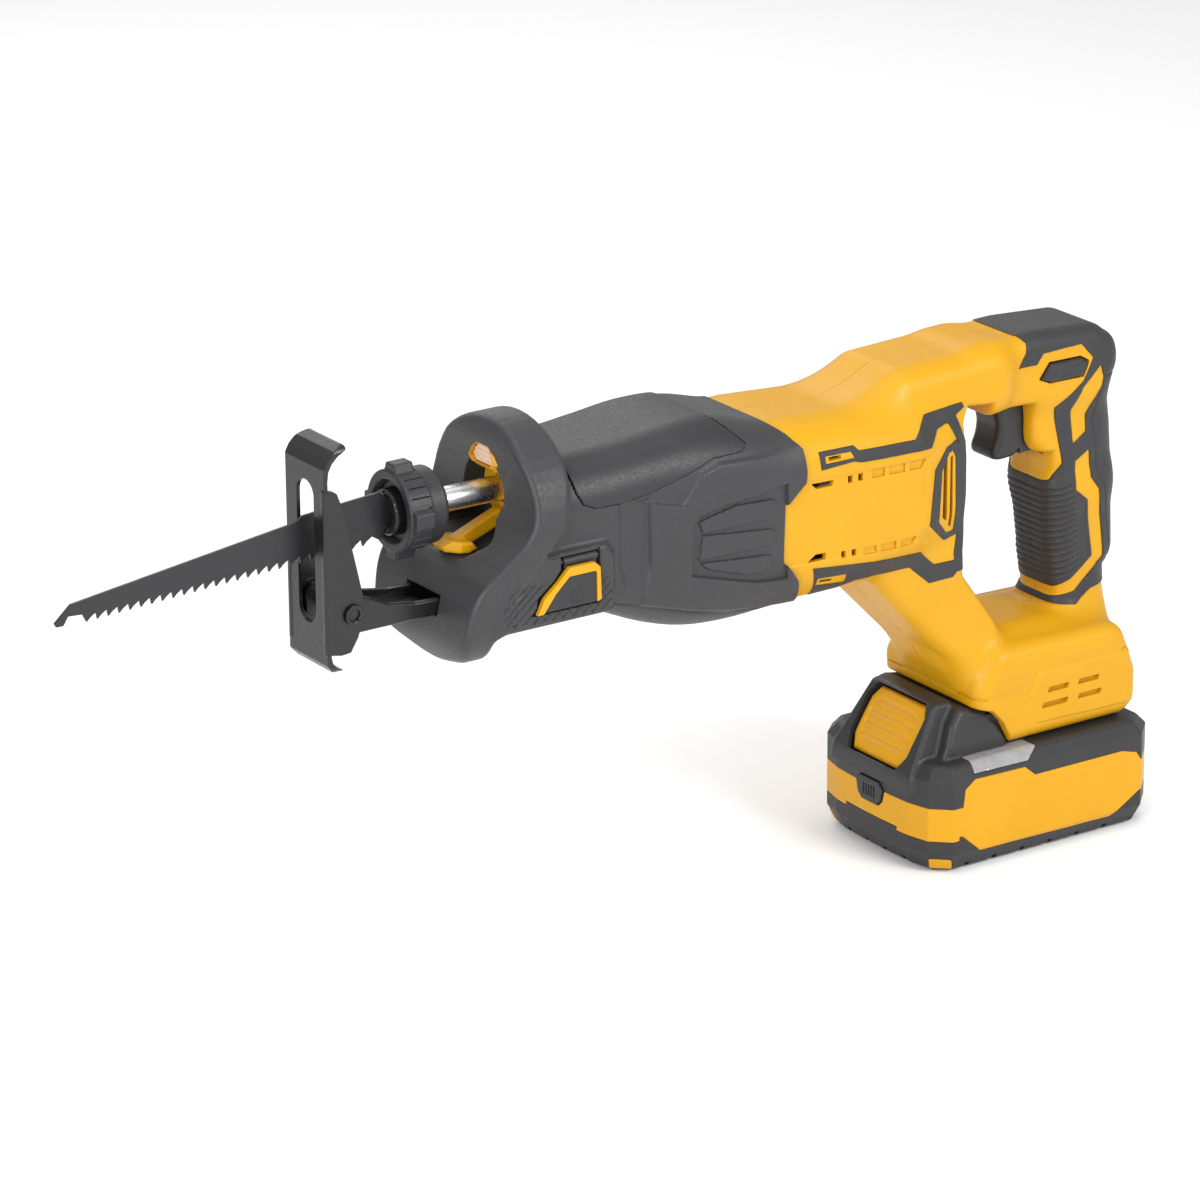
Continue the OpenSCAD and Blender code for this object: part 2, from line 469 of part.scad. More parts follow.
// ---------- battery ----------
pack_screw_at = [[-40, -28], [-40, 28], [40, -28], [40, 28]];
function pack_xy(d) = [[-65 + d, 12], [-65 + d, -12], [-63.6 + d, -25], [-61.5 + d, -36], [-53.5, -pack_hw + d], [49, -pack_hw + d], [58.6 - d, -34], [58.6 - d, 34], [49, pack_hw - d],
  [-53.5, pack_hw - d], [-61.5 + d, 36], [-63.6 + d, 25]];
module slab(d, z0, z1) translate([0, 0, z0]) linear_extrude(z1 - z0) polygon(pack_xy(d));
module battery_lower_case() color(dark) difference() {
  union() {
    hull() { slab(3, 0, 0.5); slab(0, 4, 9); }
    slab(2.98, 8.9, 34.6);
  }
  slab(5, 2.5, 40);
  for (q = pack_screw_at) translate([q[0], q[1], -1]) cylinder(h = 2.5, r = 2.7, $fn = 20);
}
module battery_band() color(yellow) difference() {
  slab(0, 9.05, 35);
  slab(2.93, 9, 36); // fits round the lower case
  // gauge button window
  bx(-69, -53, -8.4, 8.4, 21.9, 33.1);
}
module battery_upper_case() color(dark) difference() {
  union() {
    hull() { slab(0, 35.05, 42); slab(5, 47, 47.2); }
    // front hood that carries the release button
    hull() { bx(-61.5, -39, -27, 27, 40, 47); bx(-48.5, -39, -23, 23, 60, 69); }
    // shoulder under the raised edge of the base
    side([[-40, 46], [-40, 66.4], [-37.4, 66.9], [-26.8, 64.6], [-21.1, 58.5], [-15.4, 47.1], [-15.4, 46]], -32.5, 32.5);
    // rail platform
    bx(-39.1, 48, -27.4, 27.4, 47, 54.1);
    bx(-39.1, 45.8, -29.9, 29.9, 54, 62.1);
  }
  difference() {
    slab(3, 34, 45);
    bx(-64, -31, -25, 25, 41, 60);
  }
  // terminal slots
  for (y = [-16, -6, 6, 16]) bx(22, 60, y - 0.9, y + 0.9, 54.6, 63);
  // room behind the terminal block
  bx(45.7, 60, -23, 23, 53.5, 63);
  // release button pocket
  translate([-61.5, 0, 40]) rotate([0, 31.6, 0]) bx(-8, 7.5, -20.4, 20.4, -1.2, 31.6);
  // level window seat
  for (s = [-1, 1]) translate([0, s * 41.1, 45.2]) rotate([s * -45, 0, 0]) bx(-41.4, -7.6, -3.3, 3.3, -1.2, 6);
}
module level_window() color([0.85, 0.87, 0.9, 0.5]) for (s = [-1, 1])
  translate([0, s * 41.1, 45.2]) rotate([s * -45, 0, 0]) bx(-41, -8, -3, 3, -1.1, 0.4);
module release_button() color(yellow) translate([-61.5, 0, 40]) rotate([0, 31.6, 0]) difference() {
  hull() { bx(-3.4, 4, -16.5, 16.5, 0, 30.4); bx(-3.4, 4, -19.8, 19.8, 7, 24); }
  for (i = [0:3]) bx(-6, -2.6, -14, 14, 8 + 4 * i, 9.4 + 4 * i);
  // room for the spring
  translate([0.8, 0, 15]) rotate([0, 90, 0]) cylinder(h = 5, r = 4.6, $fn = 24);
}
module release_spring() color(steel) translate([-61.5, 0, 40]) rotate([0, 31.6, 0]) translate([4.1, 0, 15]) rotate([0, 90, 0]) difference() { cylinder(h = 3.2, r = 4, $fn = 24); translate([0, 0, -1]) cylinder(h = 6, r = 3, $fn = 24); }
module gauge_button() color(dark) bx(-66, -63.4, -8, 8, 22.3, 32.7);
module gauge_board() color([0.1, 0.4, 0.2]) bx(-59.7, -59, -8, 8, 16, 30);
module battery_cells() color([0.2, 0.35, 0.6]) for (k = [0:1]) for (i = [-2:2])
  cy(-cell_l / 2, cell_l / 2, cell_d / 2, i * (cell_d + 0.3), 2.9 + cell_d / 2 + k * (cell_d + 0.1));
module cell_straps() color(steel) for (s = [-1, 1]) for (i = [-2:2])
  bx(i * (cell_d + 0.3) - 3.5, i * (cell_d + 0.3) + 3.5, s < 0 ? -cell_l / 2 - 0.4 : cell_l / 2 + 0.03, s < 0 ? -cell_l / 2 - 0.03 : cell_l / 2 + 0.4, 8, 35);
module pack_board() color([0.1, 0.4, 0.2]) bx(-26, 36, -24, 24, 41.6, 43.2);
module corner_pads() color(yellow) for (s = [-1, 1])
  translate([-57.5, s * 39.75, 6.2]) rotate([0, 0, s < 0 ? 45 : -45]) bx(-1.75, -0.3, -4.7, 4.7, -2.4, 2.4);
module battery_screws() color(steel) for (q = pack_screw_at)
  translate([q[0], q[1], 0.05]) difference() { cylinder(h = 1.4, r = 2.6, $fn = 20); translate([0, 0, -1]) cylinder(h = 1.6, r = 1.2, $fn = 6); }

left_housing();
right_housing();
housing_screws();
grip_skins();
side_trims();
front_boot();
boot_cover();
light_bezel();
light_lens();
nose_trim();
gear_case_left();
gear_case_right();
gear_case_screws();
front_bushing();
rear_bushing();
rod_seal();
shaft_bearings();
counter_shaft();
drive_gear();
wobble_sleeve();
wobble_arm();
stator_core();
windings();
sensor_board();
motor_bracket();
motor_bearings();
rotor_core();
motor_shaft();
fan();
plunger_rod();
clamp_body();
clamp_collar();
collar_spring();
blade();
shoe_post();
shoe_pin();
shoe();
lock_lever();
lever_rim();
lever_pin();
trigger();
trigger_spring();
switch_body();
lock_off_button();
controller_board();
heat_sink();
terminal_block();
terminal_blades();
battery_lower_case();
battery_band();
battery_upper_case();
level_window();
release_button();
release_spring();
gauge_button();
battery_cells();
cell_straps();
pack_board();
corner_pads();
battery_screws();
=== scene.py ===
# Looks of a cordless reciprocating saw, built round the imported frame.
# Shells are made from distance fields: each form is a function of (x, y, z) in millimetres, turned into a closed mesh.
import bpy
import json
import math
import numpy as np
from mathutils import Matrix, Vector


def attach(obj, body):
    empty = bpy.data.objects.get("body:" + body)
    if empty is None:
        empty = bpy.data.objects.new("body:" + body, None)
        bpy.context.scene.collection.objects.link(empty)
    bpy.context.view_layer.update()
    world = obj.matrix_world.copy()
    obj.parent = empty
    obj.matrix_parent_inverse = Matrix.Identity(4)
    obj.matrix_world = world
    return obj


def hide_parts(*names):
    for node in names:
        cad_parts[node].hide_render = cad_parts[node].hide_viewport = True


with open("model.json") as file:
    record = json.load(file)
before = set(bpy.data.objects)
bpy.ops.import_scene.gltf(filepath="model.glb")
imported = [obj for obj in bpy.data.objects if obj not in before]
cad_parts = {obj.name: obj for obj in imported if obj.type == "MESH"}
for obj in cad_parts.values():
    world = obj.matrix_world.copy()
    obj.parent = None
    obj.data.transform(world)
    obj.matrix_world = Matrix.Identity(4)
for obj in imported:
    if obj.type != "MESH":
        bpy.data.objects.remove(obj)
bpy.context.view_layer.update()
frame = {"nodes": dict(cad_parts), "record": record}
COARSE = 1.0

# ---- distance helpers (millimetres) ----
def poly(u, v, P):
    """Signed distance to a closed 2D outline, negative inside."""
    P = np.asarray(P, float)
    u, v = np.broadcast_arrays(np.asarray(u, float), np.asarray(v, float))
    d2 = np.full(u.shape, 1e18)
    ins = np.zeros(u.shape, bool)
    n = len(P)
    for i in range(n):
        ax, ay = P[i]
        bx_, by_ = P[(i + 1) % n]
        ex, ey = bx_ - ax, by_ - ay
        L = ex * ex + ey * ey
        if L < 1e-12:
            continue
        wx, wy = u - ax, v - ay
        t = np.clip((wx * ex + wy * ey) / L, 0, 1)
        qx, qy = wx - ex * t, wy - ey * t
        d2 = np.minimum(d2, qx * qx + qy * qy)
        c = ((ay > v) != (by_ > v))
        if ey != 0:
            c = c & (u < ex * (v - ay) / ey + ax)
            ins ^= c
    d = np.sqrt(d2)
    return np.where(ins, -d, d)
def line(u, v, P):
    """Distance to an open 2D polyline."""
    P = np.asarray(P, float)
    u, v = np.broadcast_arrays(np.asarray(u, float), np.asarray(v, float))
    d2 = np.full(u.shape, 1e18)
    for i in range(len(P) - 1):
        ax, ay = P[i]
        ex, ey = P[i + 1][0] - ax, P[i + 1][1] - ay
        L = max(ex * ex + ey * ey, 1e-12)
        wx, wy = u - ax, v - ay
        t = np.clip((wx * ex + wy * ey) / L, 0, 1)
        qx, qy = wx - ex * t, wy - ey * t
        d2 = np.minimum(d2, qx * qx + qy * qy)
    return np.sqrt(d2)
def rmax(a, b, r):
    if r <= 0:
        return np.maximum(a, b)
    return np.minimum(np.maximum(a, b), -r) + np.hypot(np.maximum(a + r, 0), np.maximum(b + r, 0))
def rmin(a, b, r):
    return -rmax(-a, -b, r)
def smin(a, b, k):
    h = np.clip(0.5 + 0.5 * (b - a) / k, 0, 1)
    return b * (1 - h) + a * h - k * h * (1 - h)
def smax(a, b, k):
    return -smin(-a, -b, k)
def rbox(u, v, hu, hv, r):
    a, b = np.abs(u) - hu + r, np.abs(v) - hv + r
    return np.hypot(np.maximum(a, 0), np.maximum(b, 0)) + np.minimum(np.maximum(a, b), 0) - r
def box3(x, y, z, x0, x1, y0, y1, z0, z1, r=0.0):
    a = np.abs(x - (x0 + x1) / 2) - (x1 - x0) / 2 + r
    b = np.abs(y - (y0 + y1) / 2) - (y1 - y0) / 2 + r
    c = np.abs(z - (z0 + z1) / 2) - (z1 - z0) / 2 + r
    return np.sqrt(np.maximum(a, 0) ** 2 + np.maximum(b, 0) ** 2 + np.maximum(c, 0) ** 2) + np.minimum(np.maximum(a, np.maximum(b, c)), 0) - r
def tube(S, x, y, z, t=0.0):
    """Rounded rectangle section that changes along x: S rows are x, half width, z low, z high, corner radius."""
    S = np.asarray(S, float)
    hw = np.interp(x, S[:, 0], S[:, 1]) - t
    zb = np.interp(x, S[:, 0], S[:, 2]) + t
    zt = np.interp(x, S[:, 0], S[:, 3]) - t
    r = np.maximum(np.interp(x, S[:, 0], S[:, 4]) - t, 1)
    return rbox(y, z - (zb + zt) / 2, hw, (zt - zb) / 2, r)
def smooth_rows(S, n=4):
    """Catmull-Rom refinement of station rows."""
    S = np.asarray(S, float)
    out = []
    for i in range(len(S) - 1):
        p0, p1, p2, p3 = S[max(i - 1, 0)], S[i], S[i + 1], S[min(i + 2, len(S) - 1)]
        for k in range(n):
            t = k / n
            out.append(0.5 * (2 * p1 + (p2 - p0) * t + (2 * p0 - 5 * p1 + 4 * p2 - p3) * t * t + (3 * p1 - p0 - 3 * p2 + p3) * t ** 3))
    out.append(S[-1])
    return np.array(out)
# ---- iso-surface ----
def sample(f, P, chunk=400000):
    out = np.empty(len(P), np.float32)
    for i in range(0, len(P), chunk):
        Q = P[i:i + chunk]
        out[i:i + chunk] = f(Q[:, 0], Q[:, 1], Q[:, 2])
    return out
def mesh_field(f, lo, hi, h, project=2):
    """Closed surface f = 0 as vertices and quads: dual contouring on the blocks near the surface."""
    B = 8
    lo = np.asarray(lo, float) - 2 * h
    nb = [int(math.ceil(((b + 2 * h - a) / h + 1) / B)) for a, b in zip(lo, hi)]
    n = [k * B for k in nb]
    bi = np.stack(np.meshgrid(*[np.arange(k) for k in nb], indexing="ij"), -1).reshape(-1, 3)
    fc = sample(f, lo + (bi * B + (B - 1) / 2) * h)
    act = np.abs(fc) < (B - 1) / 2 * h * 1.7321 * 1.45 + 0.8
    F = np.empty(n, np.float32)
    Fb = F.reshape(nb[0], B, nb[1], B, nb[2], B)
    Fb[:] = np.where(fc < 0, -9, 9).reshape(nb)[:, None, :, None, :, None]
    off = np.stack(np.meshgrid(np.arange(B), np.arange(B), np.arange(B), indexing="ij"), -1).reshape(-1, 3)
    ab = bi[act]
    for i in range(0, len(ab), 800):
        G = (ab[i:i + 800, None, :] * B + off[None]).reshape(-1, 3)
        F[G[:, 0], G[:, 1], G[:, 2]] = f(*(lo + G * h).T)
    F[F == 0] = 1e-6
    s = F < 0
    cell = np.zeros([k - 1 for k in n], bool)
    a = s[:-1, :-1, :-1]
    for dx in (0, 1):
        for dy in (0, 1):
            for dz in (0, 1):
                cell |= s[dx:n[0] - 1 + dx, dy:n[1] - 1 + dy, dz:n[2] - 1 + dz] != a
    idx = np.argwhere(cell)
    ids = np.full(cell.shape, -1, np.int32)
    ids[tuple(idx.T)] = np.arange(len(idx))
    # crossings of the grid edges with their normals, gathered cell by cell
    nc = len(idx)
    acc = np.zeros((13, nc))
    quads = []
    eps = h * 0.08
    for d in range(3):
        sl0, sl1 = [slice(None)] * 3, [slice(None)] * 3
        sl0[d], sl1[d] = slice(0, n[d] - 1), slice(1, n[d])
        e = np.argwhere(s[tuple(sl0)] != s[tuple(sl1)])
        o1, o2 = [(1, 2), (2, 0), (0, 1)][d]
        e = e[(e[:, o1] > 0) & (e[:, o2] > 0) & (e[:, o1] < n[o1] - 1) & (e[:, o2] < n[o2] - 1)]
        e1 = e.copy()
        e1[:, d] += 1
        fa, fb = F[tuple(e.T)].astype(float), F[tuple(e1.T)].astype(float)
        ta, tb = np.zeros(len(e)), np.ones(len(e))
        P = lo + e * h
        for k in range(project):
            t = ta + (tb - ta) * np.clip(fa / (fa - fb), 0.04, 0.96)
            P[:, d] = lo[d] + (e[:, d] + t) * h
            ft = sample(f, P).astype(float)
            m = (ft < 0) == (fa < 0)
            ta, fa = np.where(m, t, ta), np.where(m, ft, fa)
            tb, fb = np.where(m, tb, t), np.where(m, fb, ft)
        den = np.where(fa == fb, 1, fa - fb)
        t = ta + (tb - ta) * np.clip(fa / den, 0, 1)
        P[:, d] = lo[d] + (e[:, d] + t) * h
        N = np.stack([sample(f, P + eps * np.eye(3)[i]) - sample(f, P - eps * np.eye(3)[i]) for i in range(3)], 1).astype(float)
        L = np.linalg.norm(N, axis=1, keepdims=True)
        N = N / np.maximum(L, 1e-9)
        Pl = (P - lo) / h
        c = (N * Pl).sum(1)
        W = [N[:, 0] * N[:, 0], N[:, 0] * N[:, 1], N[:, 0] * N[:, 2], N[:, 1] * N[:, 1], N[:, 1] * N[:, 2], N[:, 2] * N[:, 2],
             N[:, 0] * c, N[:, 1] * c, N[:, 2] * c, Pl[:, 0], Pl[:, 1], Pl[:, 2], np.ones(len(e))]
        def cid(a, b):
            k = e.copy()
            k[:, o1] -= a
            k[:, o2] -= b
            return ids[tuple(k.T)]
        q = np.stack([cid(1, 1), cid(0, 1), cid(0, 0), cid(1, 0)], 1)
        for k in range(4):
            for i in range(13):
                acc[i] += np.bincount(q[:, k], weights=W[i], minlength=nc)
        flip = ~s[tuple(e.T)]
        q[flip] = q[flip][:, ::-1]
        quads.append(q)
    Q = np.concatenate(quads)
    # the point of each cell that fits its planes best
    M_ = acc[9:12] / np.maximum(acc[12], 1)
    A = np.empty((nc, 3, 3))
    A[:, 0, 0], A[:, 0, 1], A[:, 0, 2] = acc[0], acc[1], acc[2]
    A[:, 1, 0], A[:, 1, 1], A[:, 1, 2] = acc[1], acc[3], acc[4]
    A[:, 2, 0], A[:, 2, 1], A[:, 2, 2] = acc[2], acc[4], acc[5]
    r = acc[6:9].T - np.einsum("nij,nj->ni", A, M_.T)
    A[:, range(3), range(3)] += 0.05 * np.maximum(acc[12], 1)[:, None]
    dv = np.linalg.solve(A, r[..., None])[..., 0]
    G = np.clip(M_.T + dv, idx + 0.001, idx + 0.999)
    G[acc[12] == 0] = idx[acc[12] == 0] + 0.5
    return lo + G * h, Q
def drop_bits(V, Q, least=60):
    """Leaves out shells of fewer than `least` points."""
    lab = np.arange(len(V))
    for _ in range(200):
        m = lab[Q].min(1)
        new = lab.copy()
        for j in range(Q.shape[1]):
            np.minimum.at(new, Q[:, j], m)
        new = new[new]
        new = new[new]
        if (new == lab).all():
            break
        lab = new
    cnt = np.bincount(lab, minlength=len(V))
    keep = cnt[lab] >= least
    if keep.all():
        return V, Q
    m = np.cumsum(keep) - 1
    Q = Q[keep[Q[:, 0]]]
    return V[keep], m[Q]
# ---- housing form ----
BARREL = [[-150, 36.5, 134, 211.5, 20], [-139, 36.5, 134, 211.5, 20], [-128, 37, 132.6, 211.5, 20], [-90, 37, 132.2, 209.6, 22],
          [-66, 35.5, 134.5, 210, 24], [-48, 31, 138, 208, 22], [-36, 25, 146, 205, 20], [-30, 20, 150, 203, 18]]
def barrel(x, y, z):
    return rmax(tube(BARREL, x, y, z), x + 33.0, 7)
def pod(x, y, z, P, r, hw, R):
    return rmax(poly(x, z, P) - r, np.abs(y) - hw, R)
def bridge(x, y, z):
    a = pod(x, y, z, [(-86, 197), (-64, 208), (-18, 210), (-18, 204), (-44, 196), (-86, 185)], 12.5, 25, 11)
    b = pod(x, y, z, [(-24, 210), (7, 211), (36, 209.2), (39.5, 206.5), (35, 200), (-24, 204)], 12, 19.5, 7)
    c = pod(x, y, z, [(30, 210.5), (44.6, 210), (43.5, 208), (30, 208)], 5.6, 16.5, 4.0)
    return smin(smin(a, b, 6), c, 2.0)
def grip(x, y, z):
    hw = 17 + 0.8 * np.exp(-((z - 150) / 26.0) ** 2) - 1.2 * np.exp(-((z - 104) / 10.0) ** 2)
    P1 = [(33, 198), (34.5, 175), (32, 150), (38.7, 150), (37.4, 175), (35.4, 190), (33.6, 198)]
    P2 = [(32, 150), (38.5, 150), (40.3, 120), (35, 118), (37, 92), (38.5, 92)]
    a = rmax(poly(x, z, P1) - 14.5, np.abs(y) - hw, 10)
    b = rmax(poly(x, z, P2) - 15, np.abs(y) - hw, 11)
    c = rmax(poly(x, z, [(18.2, 198), (18.2, 178.5), (24, 171), (33, 171), (34, 198)]) - 12, np.abs(y) - hw, 7)
    return smin(smin(a, b, 5), c, 5)
def foot(x, y, z):
    a = pod(x, y, z, [(-24, 73), (-18, 82), (38, 80.5), (43.6, 66), (43.6, 57.8), (-22.6, 57.8)], 10.2, 35, 7)
    b = pod(x, y, z, [(-30, 88), (22, 83.4), (38.5, 80)], 10, 22, 9)
    return smin(a, b, 10)
def strut(x, y, z):
    return pod(x, y, z, [(-86, 152), (-46, 178), (-44, 125), (-26, 99), (-24.5, 85.5), (-57.8, 119.6)], 10.5, 27, 7)
def form(x, y, z):
    """Outer form of the housing before the details."""
    d = smin(barrel(x, y, z), bridge(x, y, z), 7)
    d = smin(d, strut(x, y, z), 6)
    d = smin(d, foot(x, y, z), 7)
    d = smin(d, grip(x, y, z), 8)
    return d
BOOT = [[-262, 32, 152.4, 214, 18], [-250, 33, 152.4, 214.3, 18], [-238, 33, 152, 214.5, 18], [-219, 34, 146.4, 215.2, 18], [-199, 35, 138, 216.8, 18],
        [-180, 36.5, 132.4, 218.8, 20], [-160, 37.5, 130.4, 218.2, 22], [-139.3, 37.8, 131.6, 212.8, 21], [-128, 37.8, 132, 212.3, 21]]
def hull2(C, n=40):
    """Outline round circles (u, v, r)."""
    P = sorted({(round(u + r * math.cos(2 * math.pi * k / n), 6), round(v + r * math.sin(2 * math.pi * k / n), 6)) for u, v, r in C for k in range(n)})
    def half(Q):
        H = []
        for p in Q:
            while len(H) > 1 and (H[-1][0] - H[-2][0]) * (p[1] - H[-2][1]) - (H[-1][1] - H[-2][1]) * (p[0] - H[-2][0]) <= 0:
                H.pop()
            H.append(p)
        return H[:-1]
    return np.array(half(P) + half(P[::-1]))
GUARD_YZ = hull2([(0, 191.5, 40.3), (-15.5, 158.5, 20.5), (15.5, 158.5, 20.5), (0, 155.5, 22)], 48)
GUARD_XZ = [(-247, 237), (-256, 235), (-260.4, 224), (-259.8, 212), (-260.2, 199), (-265, 190), (-276.5, 180), (-284.5, 173.5), (-288.7, 166),
            (-291, 156), (-291.6, 148), (-289.4, 141.5), (-285, 135.4), (-279.6, 132.5), (-275.8, 138.5), (-276.3, 148), (-273, 160), (-265.5, 171),
            (-255, 182), (-247, 192), (-243.4, 203), (-240.8, 213), (-240.6, 226), (-242, 236)]
def closed_curve(P, n=4):
    k = len(P)
    return smooth_rows(list(P[-1:]) + list(P) + list(P[:2]), n)[n:n * (k + 1)]
GUARD_XZ = closed_curve(GUARD_XZ)
BOOT_S = smooth_rows(BOOT, 4)
def boot_form(x, y, z):
    d = rmax(tube(BOOT_S, x, y, z), -250.0 - x, 1)
    d = np.maximum(d, x + 139.3)
    neck = rmax(poly(x, z, [(-245, 152.4), (-245, 196), (-250, 192), (-262, 178), (-272, 166), (-279, 154), (-279, 152.4)]), np.abs(y) - 33, 6)
    return np.minimum(d, neck)
def guard(x, y, z):
    return rmax(poly(x, z, GUARD_XZ), poly(y, z, GUARD_YZ), 3.0)
def front(x, y, z):
    return smin(boot_form(x, y, z), guard(x, y, z), 5)
# ---- detail outlines on the left side, (x, z) ----
UT = [(-119.8, 199.4), (-101.7, 198.9), (-99.5, 196.5), (-69.2, 195.0), (-60.6, 202.8), (-38.4, 203.3), (-37.4, 200.9), (-48.0, 196.4),
      (-49.5, 197.1), (-55.6, 196.0), (-60.7, 189.6), (-98.8, 191.5), (-102.7, 192.6), (-119.5, 192.0)]
UW = [(-117.0, 197.3), (-103.6, 196.8), (-102.2, 194.0), (-117.2, 194.2)]
RO = [(-50.9, 187.6), (-44.3, 189.1), (-40.4, 184.5), (-39.2, 165), (-41.3, 146.4), (-49.4, 145.4), (-61.2, 155.5), (-58.3, 179.4)]
RI = [(-46.9, 185.3), (-45, 182), (-44.4, 163.7), (-44, 148.7), (-48.9, 148.9), (-55.4, 155.7), (-53.9, 177.7), (-49.6, 184.7)]
RE = [(-48, 196.4), (-44.6, 190.6), (-40.8, 184.5), (-39.6, 165), (-41.7, 146.4), (-43.0, 138), (-41.8, 129.5), (-37.4, 129.5), (-38.0, 138),
      (-36.7, 146.4), (-34.2, 165), (-35.4, 184.5), (-39.3, 190.6), (-43, 199.5)]
LT = [(-123.4, 150.2), (-62.3, 143), (-53.3, 135.1), (-42.6, 134.9), (-41.0, 129.5), (-43.2, 127.4), (-55.8, 127.2), (-66.7, 136.6),
      (-97.7, 137.9), (-104.5, 135.4), (-119.1, 135.2)]
LW = [(-120.0, 144.6), (-104.4, 143.4), (-103.2, 138.6), (-119.9, 141.2)]
BOUND = [(-330, 260), (-137.6, 260), (-137.6, 212.5), (-135, 210.5), (-132.1, 208), (-128.2, 202.7), (-127.9, 192.4), (-128.4, 188.9),
         (-137.6, 180.8), (-138.4, 156.4), (-131.5, 146.7), (-127.9, 134.4), (-127, 118), (-330, 118)]
SIDE_PANEL = [(-145, 189.3), (-132.4, 188.7), (-61.3, 186.2), (-62.4, 179), (-65.4, 156), (-60.5, 151.5), (-57, 145.8), (-67.7, 150.2), (-125.3, 152.6), (-145, 153.5)]
VENTS = [[(-124.0, 186.7), (-112.9, 186.4), (-113.6, 184.2), (-121.6, 184.3)], [(-105.4, 186.5), (-103.3, 186.5), (-103.3, 183.7), (-105.4, 183.7)],
         [(-100.1, 186.4), (-98, 186.4), (-98, 183.6), (-100.1, 183.6)], [(-121.8, 155.8), (-116.5, 155.6), (-116.9, 152.9), (-125.9, 153.1)],
         [(-108.5, 154.5), (-106.5, 154.5), (-106.5, 151.9), (-108.5, 151.9)], [(-103.1, 154.2), (-101.1, 154.2), (-101.1, 151.6), (-103.1, 151.6)],
         [(-115.2, 196.4), (-109, 196.2), (-109, 195.0), (-115.2, 195.1)], [(-118.2, 143.4), (-111.8, 142.8), (-111.8, 141.7), (-118.2, 142.3)],
         [(-52.6, 180.5), (-50.6, 182), (-50.3, 155.0), (-52.9, 157.2)], [(-48.4, 182.5), (-46.9, 183), (-46.6, 151.5), (-48.6, 152.4)]]
FAINT = [[(-93, 187.0), (-86.5, 186.8), (-86.5, 183.2), (-93, 183.4)], [(-84, 186.7), (-75.5, 186.3), (-75.5, 182.6), (-84, 183.1)],
         [(-73, 186.2), (-64, 185.8), (-66.5, 182.2), (-73, 182.5)], [(-97, 154.0), (-90.5, 153.7), (-90.5, 150.6), (-97, 150.9)],
         [(-88, 153.6), (-79.5, 153.2), (-79.5, 149.9), (-88, 150.4)], [(-77, 153.1), (-68, 152.6), (-70.5, 149.6), (-77, 149.8)]]
GRIP = [(-4.4, 245), (-4.4, 223.3), (-1.8, 222.8), (0.5, 220.1), (-0.5, 215.8), (-4.4, 210.2), (5.5, 209.9), (9, 214.4), (29.5, 215.1), (35.3, 208.4),
        (30, 199), (16.4, 188.7), (21.8, 162.7), (18.4, 155), (15.5, 152.9), (5, 151.8), (5, 112), (13.5, 106), (14.2, 98.6), (31.4, 96.9), (40.7, 102.2),
        (52.4, 103.4), (52.6, 111.3), (80, 111.3), (80, 245)]
PATCH = [(39.3, 204.5), (40.7, 199.1), (39.9, 195), (33.1, 183), (33.4, 175.2), (26.8, 170.9), (25, 186.4), (29.8, 195.9)]
STRIPE = [(35.3, 166.9), (36.8, 154), (41.3, 148), (46.1, 116.1), (31.5, 102.7), (21.7, 100.4), (5, 100.2), (5, 104.6), (23, 105.0), (29.1, 108.4),
          (39.8, 117.5), (35.1, 144.5), (28.7, 149.9), (28, 162.6)]
SPINE = [(40.9, 199.5), (37.9, 185.7), (36.9, 179.8), (40.9, 153.3), (43.9, 150.7), (50.4, 114.6), (53.2, 111.6), (80, 111.6), (80, 199.5)]
RIBS = [(4, 150.5), (22, 151.5), (26.4, 152.9), (33.4, 116), (28.5, 109.4), (22, 107.4), (4, 107.2)]
HAND = [(-37, 193.5), (-34.8, 187), (-36, 126), (-15.8, 98.5), (20, 97), (22.6, 102), (19.6, 120), (16.2, 139), (15.9, 152), (18, 168), (7, 168), (6, 171),
        (6, 191.5), (-19, 191.5), (-21, 198.5), (-34, 200)]
BASE_CUT = [(-70, 67.5), (-37, 67.5), (-26.3, 65.2), (-20.4, 58.9), (-14.5, 47), (-14.5, 20), (-70, 20)]

def inlay_cut(d, g, depth, gap=0.25):
    return np.maximum(d, -np.maximum(g - gap, -(d + depth)))
def inlay(d, g, up, depth, r=0.35):
    return np.maximum(rmax(g, d - up, r), -(d + depth))
def carve(d, g, depth):
    return np.maximum(d, -np.maximum(g, -(d + depth)))
def raised(d, g, h, r=0.0):
    return np.minimum(d, rmax(g, d - h, r))
def groove(d, dist, w, depth):
    return np.maximum(d, -np.maximum(dist - w, -(d + depth)))
def soft(g, w):
    """1 well inside an outline, 0 outside, smooth over width w."""
    t = np.clip(0.5 - g / w, 0, 1)
    return t * t * (3 - 2 * t)
def trims_g(x, y, z):
    g = np.maximum(poly(x, z, UT), -poly(x, z, UW))
    g = np.minimum(g, np.maximum(poly(x, z, RO), -poly(x, z, RI)))
    g = np.minimum(g, poly(x, z, RE))
    g = np.minimum(g, np.maximum(poly(x, z, LT), -poly(x, z, LW)))
    return np.maximum(g, 12.0 - np.abs(y))
def grip_g(x, y, z):
    g = poly(x, z, GRIP)
    g = np.maximum(g, -poly(x, z, PATCH))
    return np.maximum(g, -poly(x, z, STRIPE))
def bound_g(x, z):
    return poly(x, z, BOUND)
def housing_solid(x, y, z):
    """Outer form with its hollows for other parts, before the shell is emptied."""
    d = form(x, y, z)
    d = rmax(d, -poly(x, z, HAND), 2.5)
    d = rmax(d, -poly(x, z, BASE_CUT), 1.0)
    return d
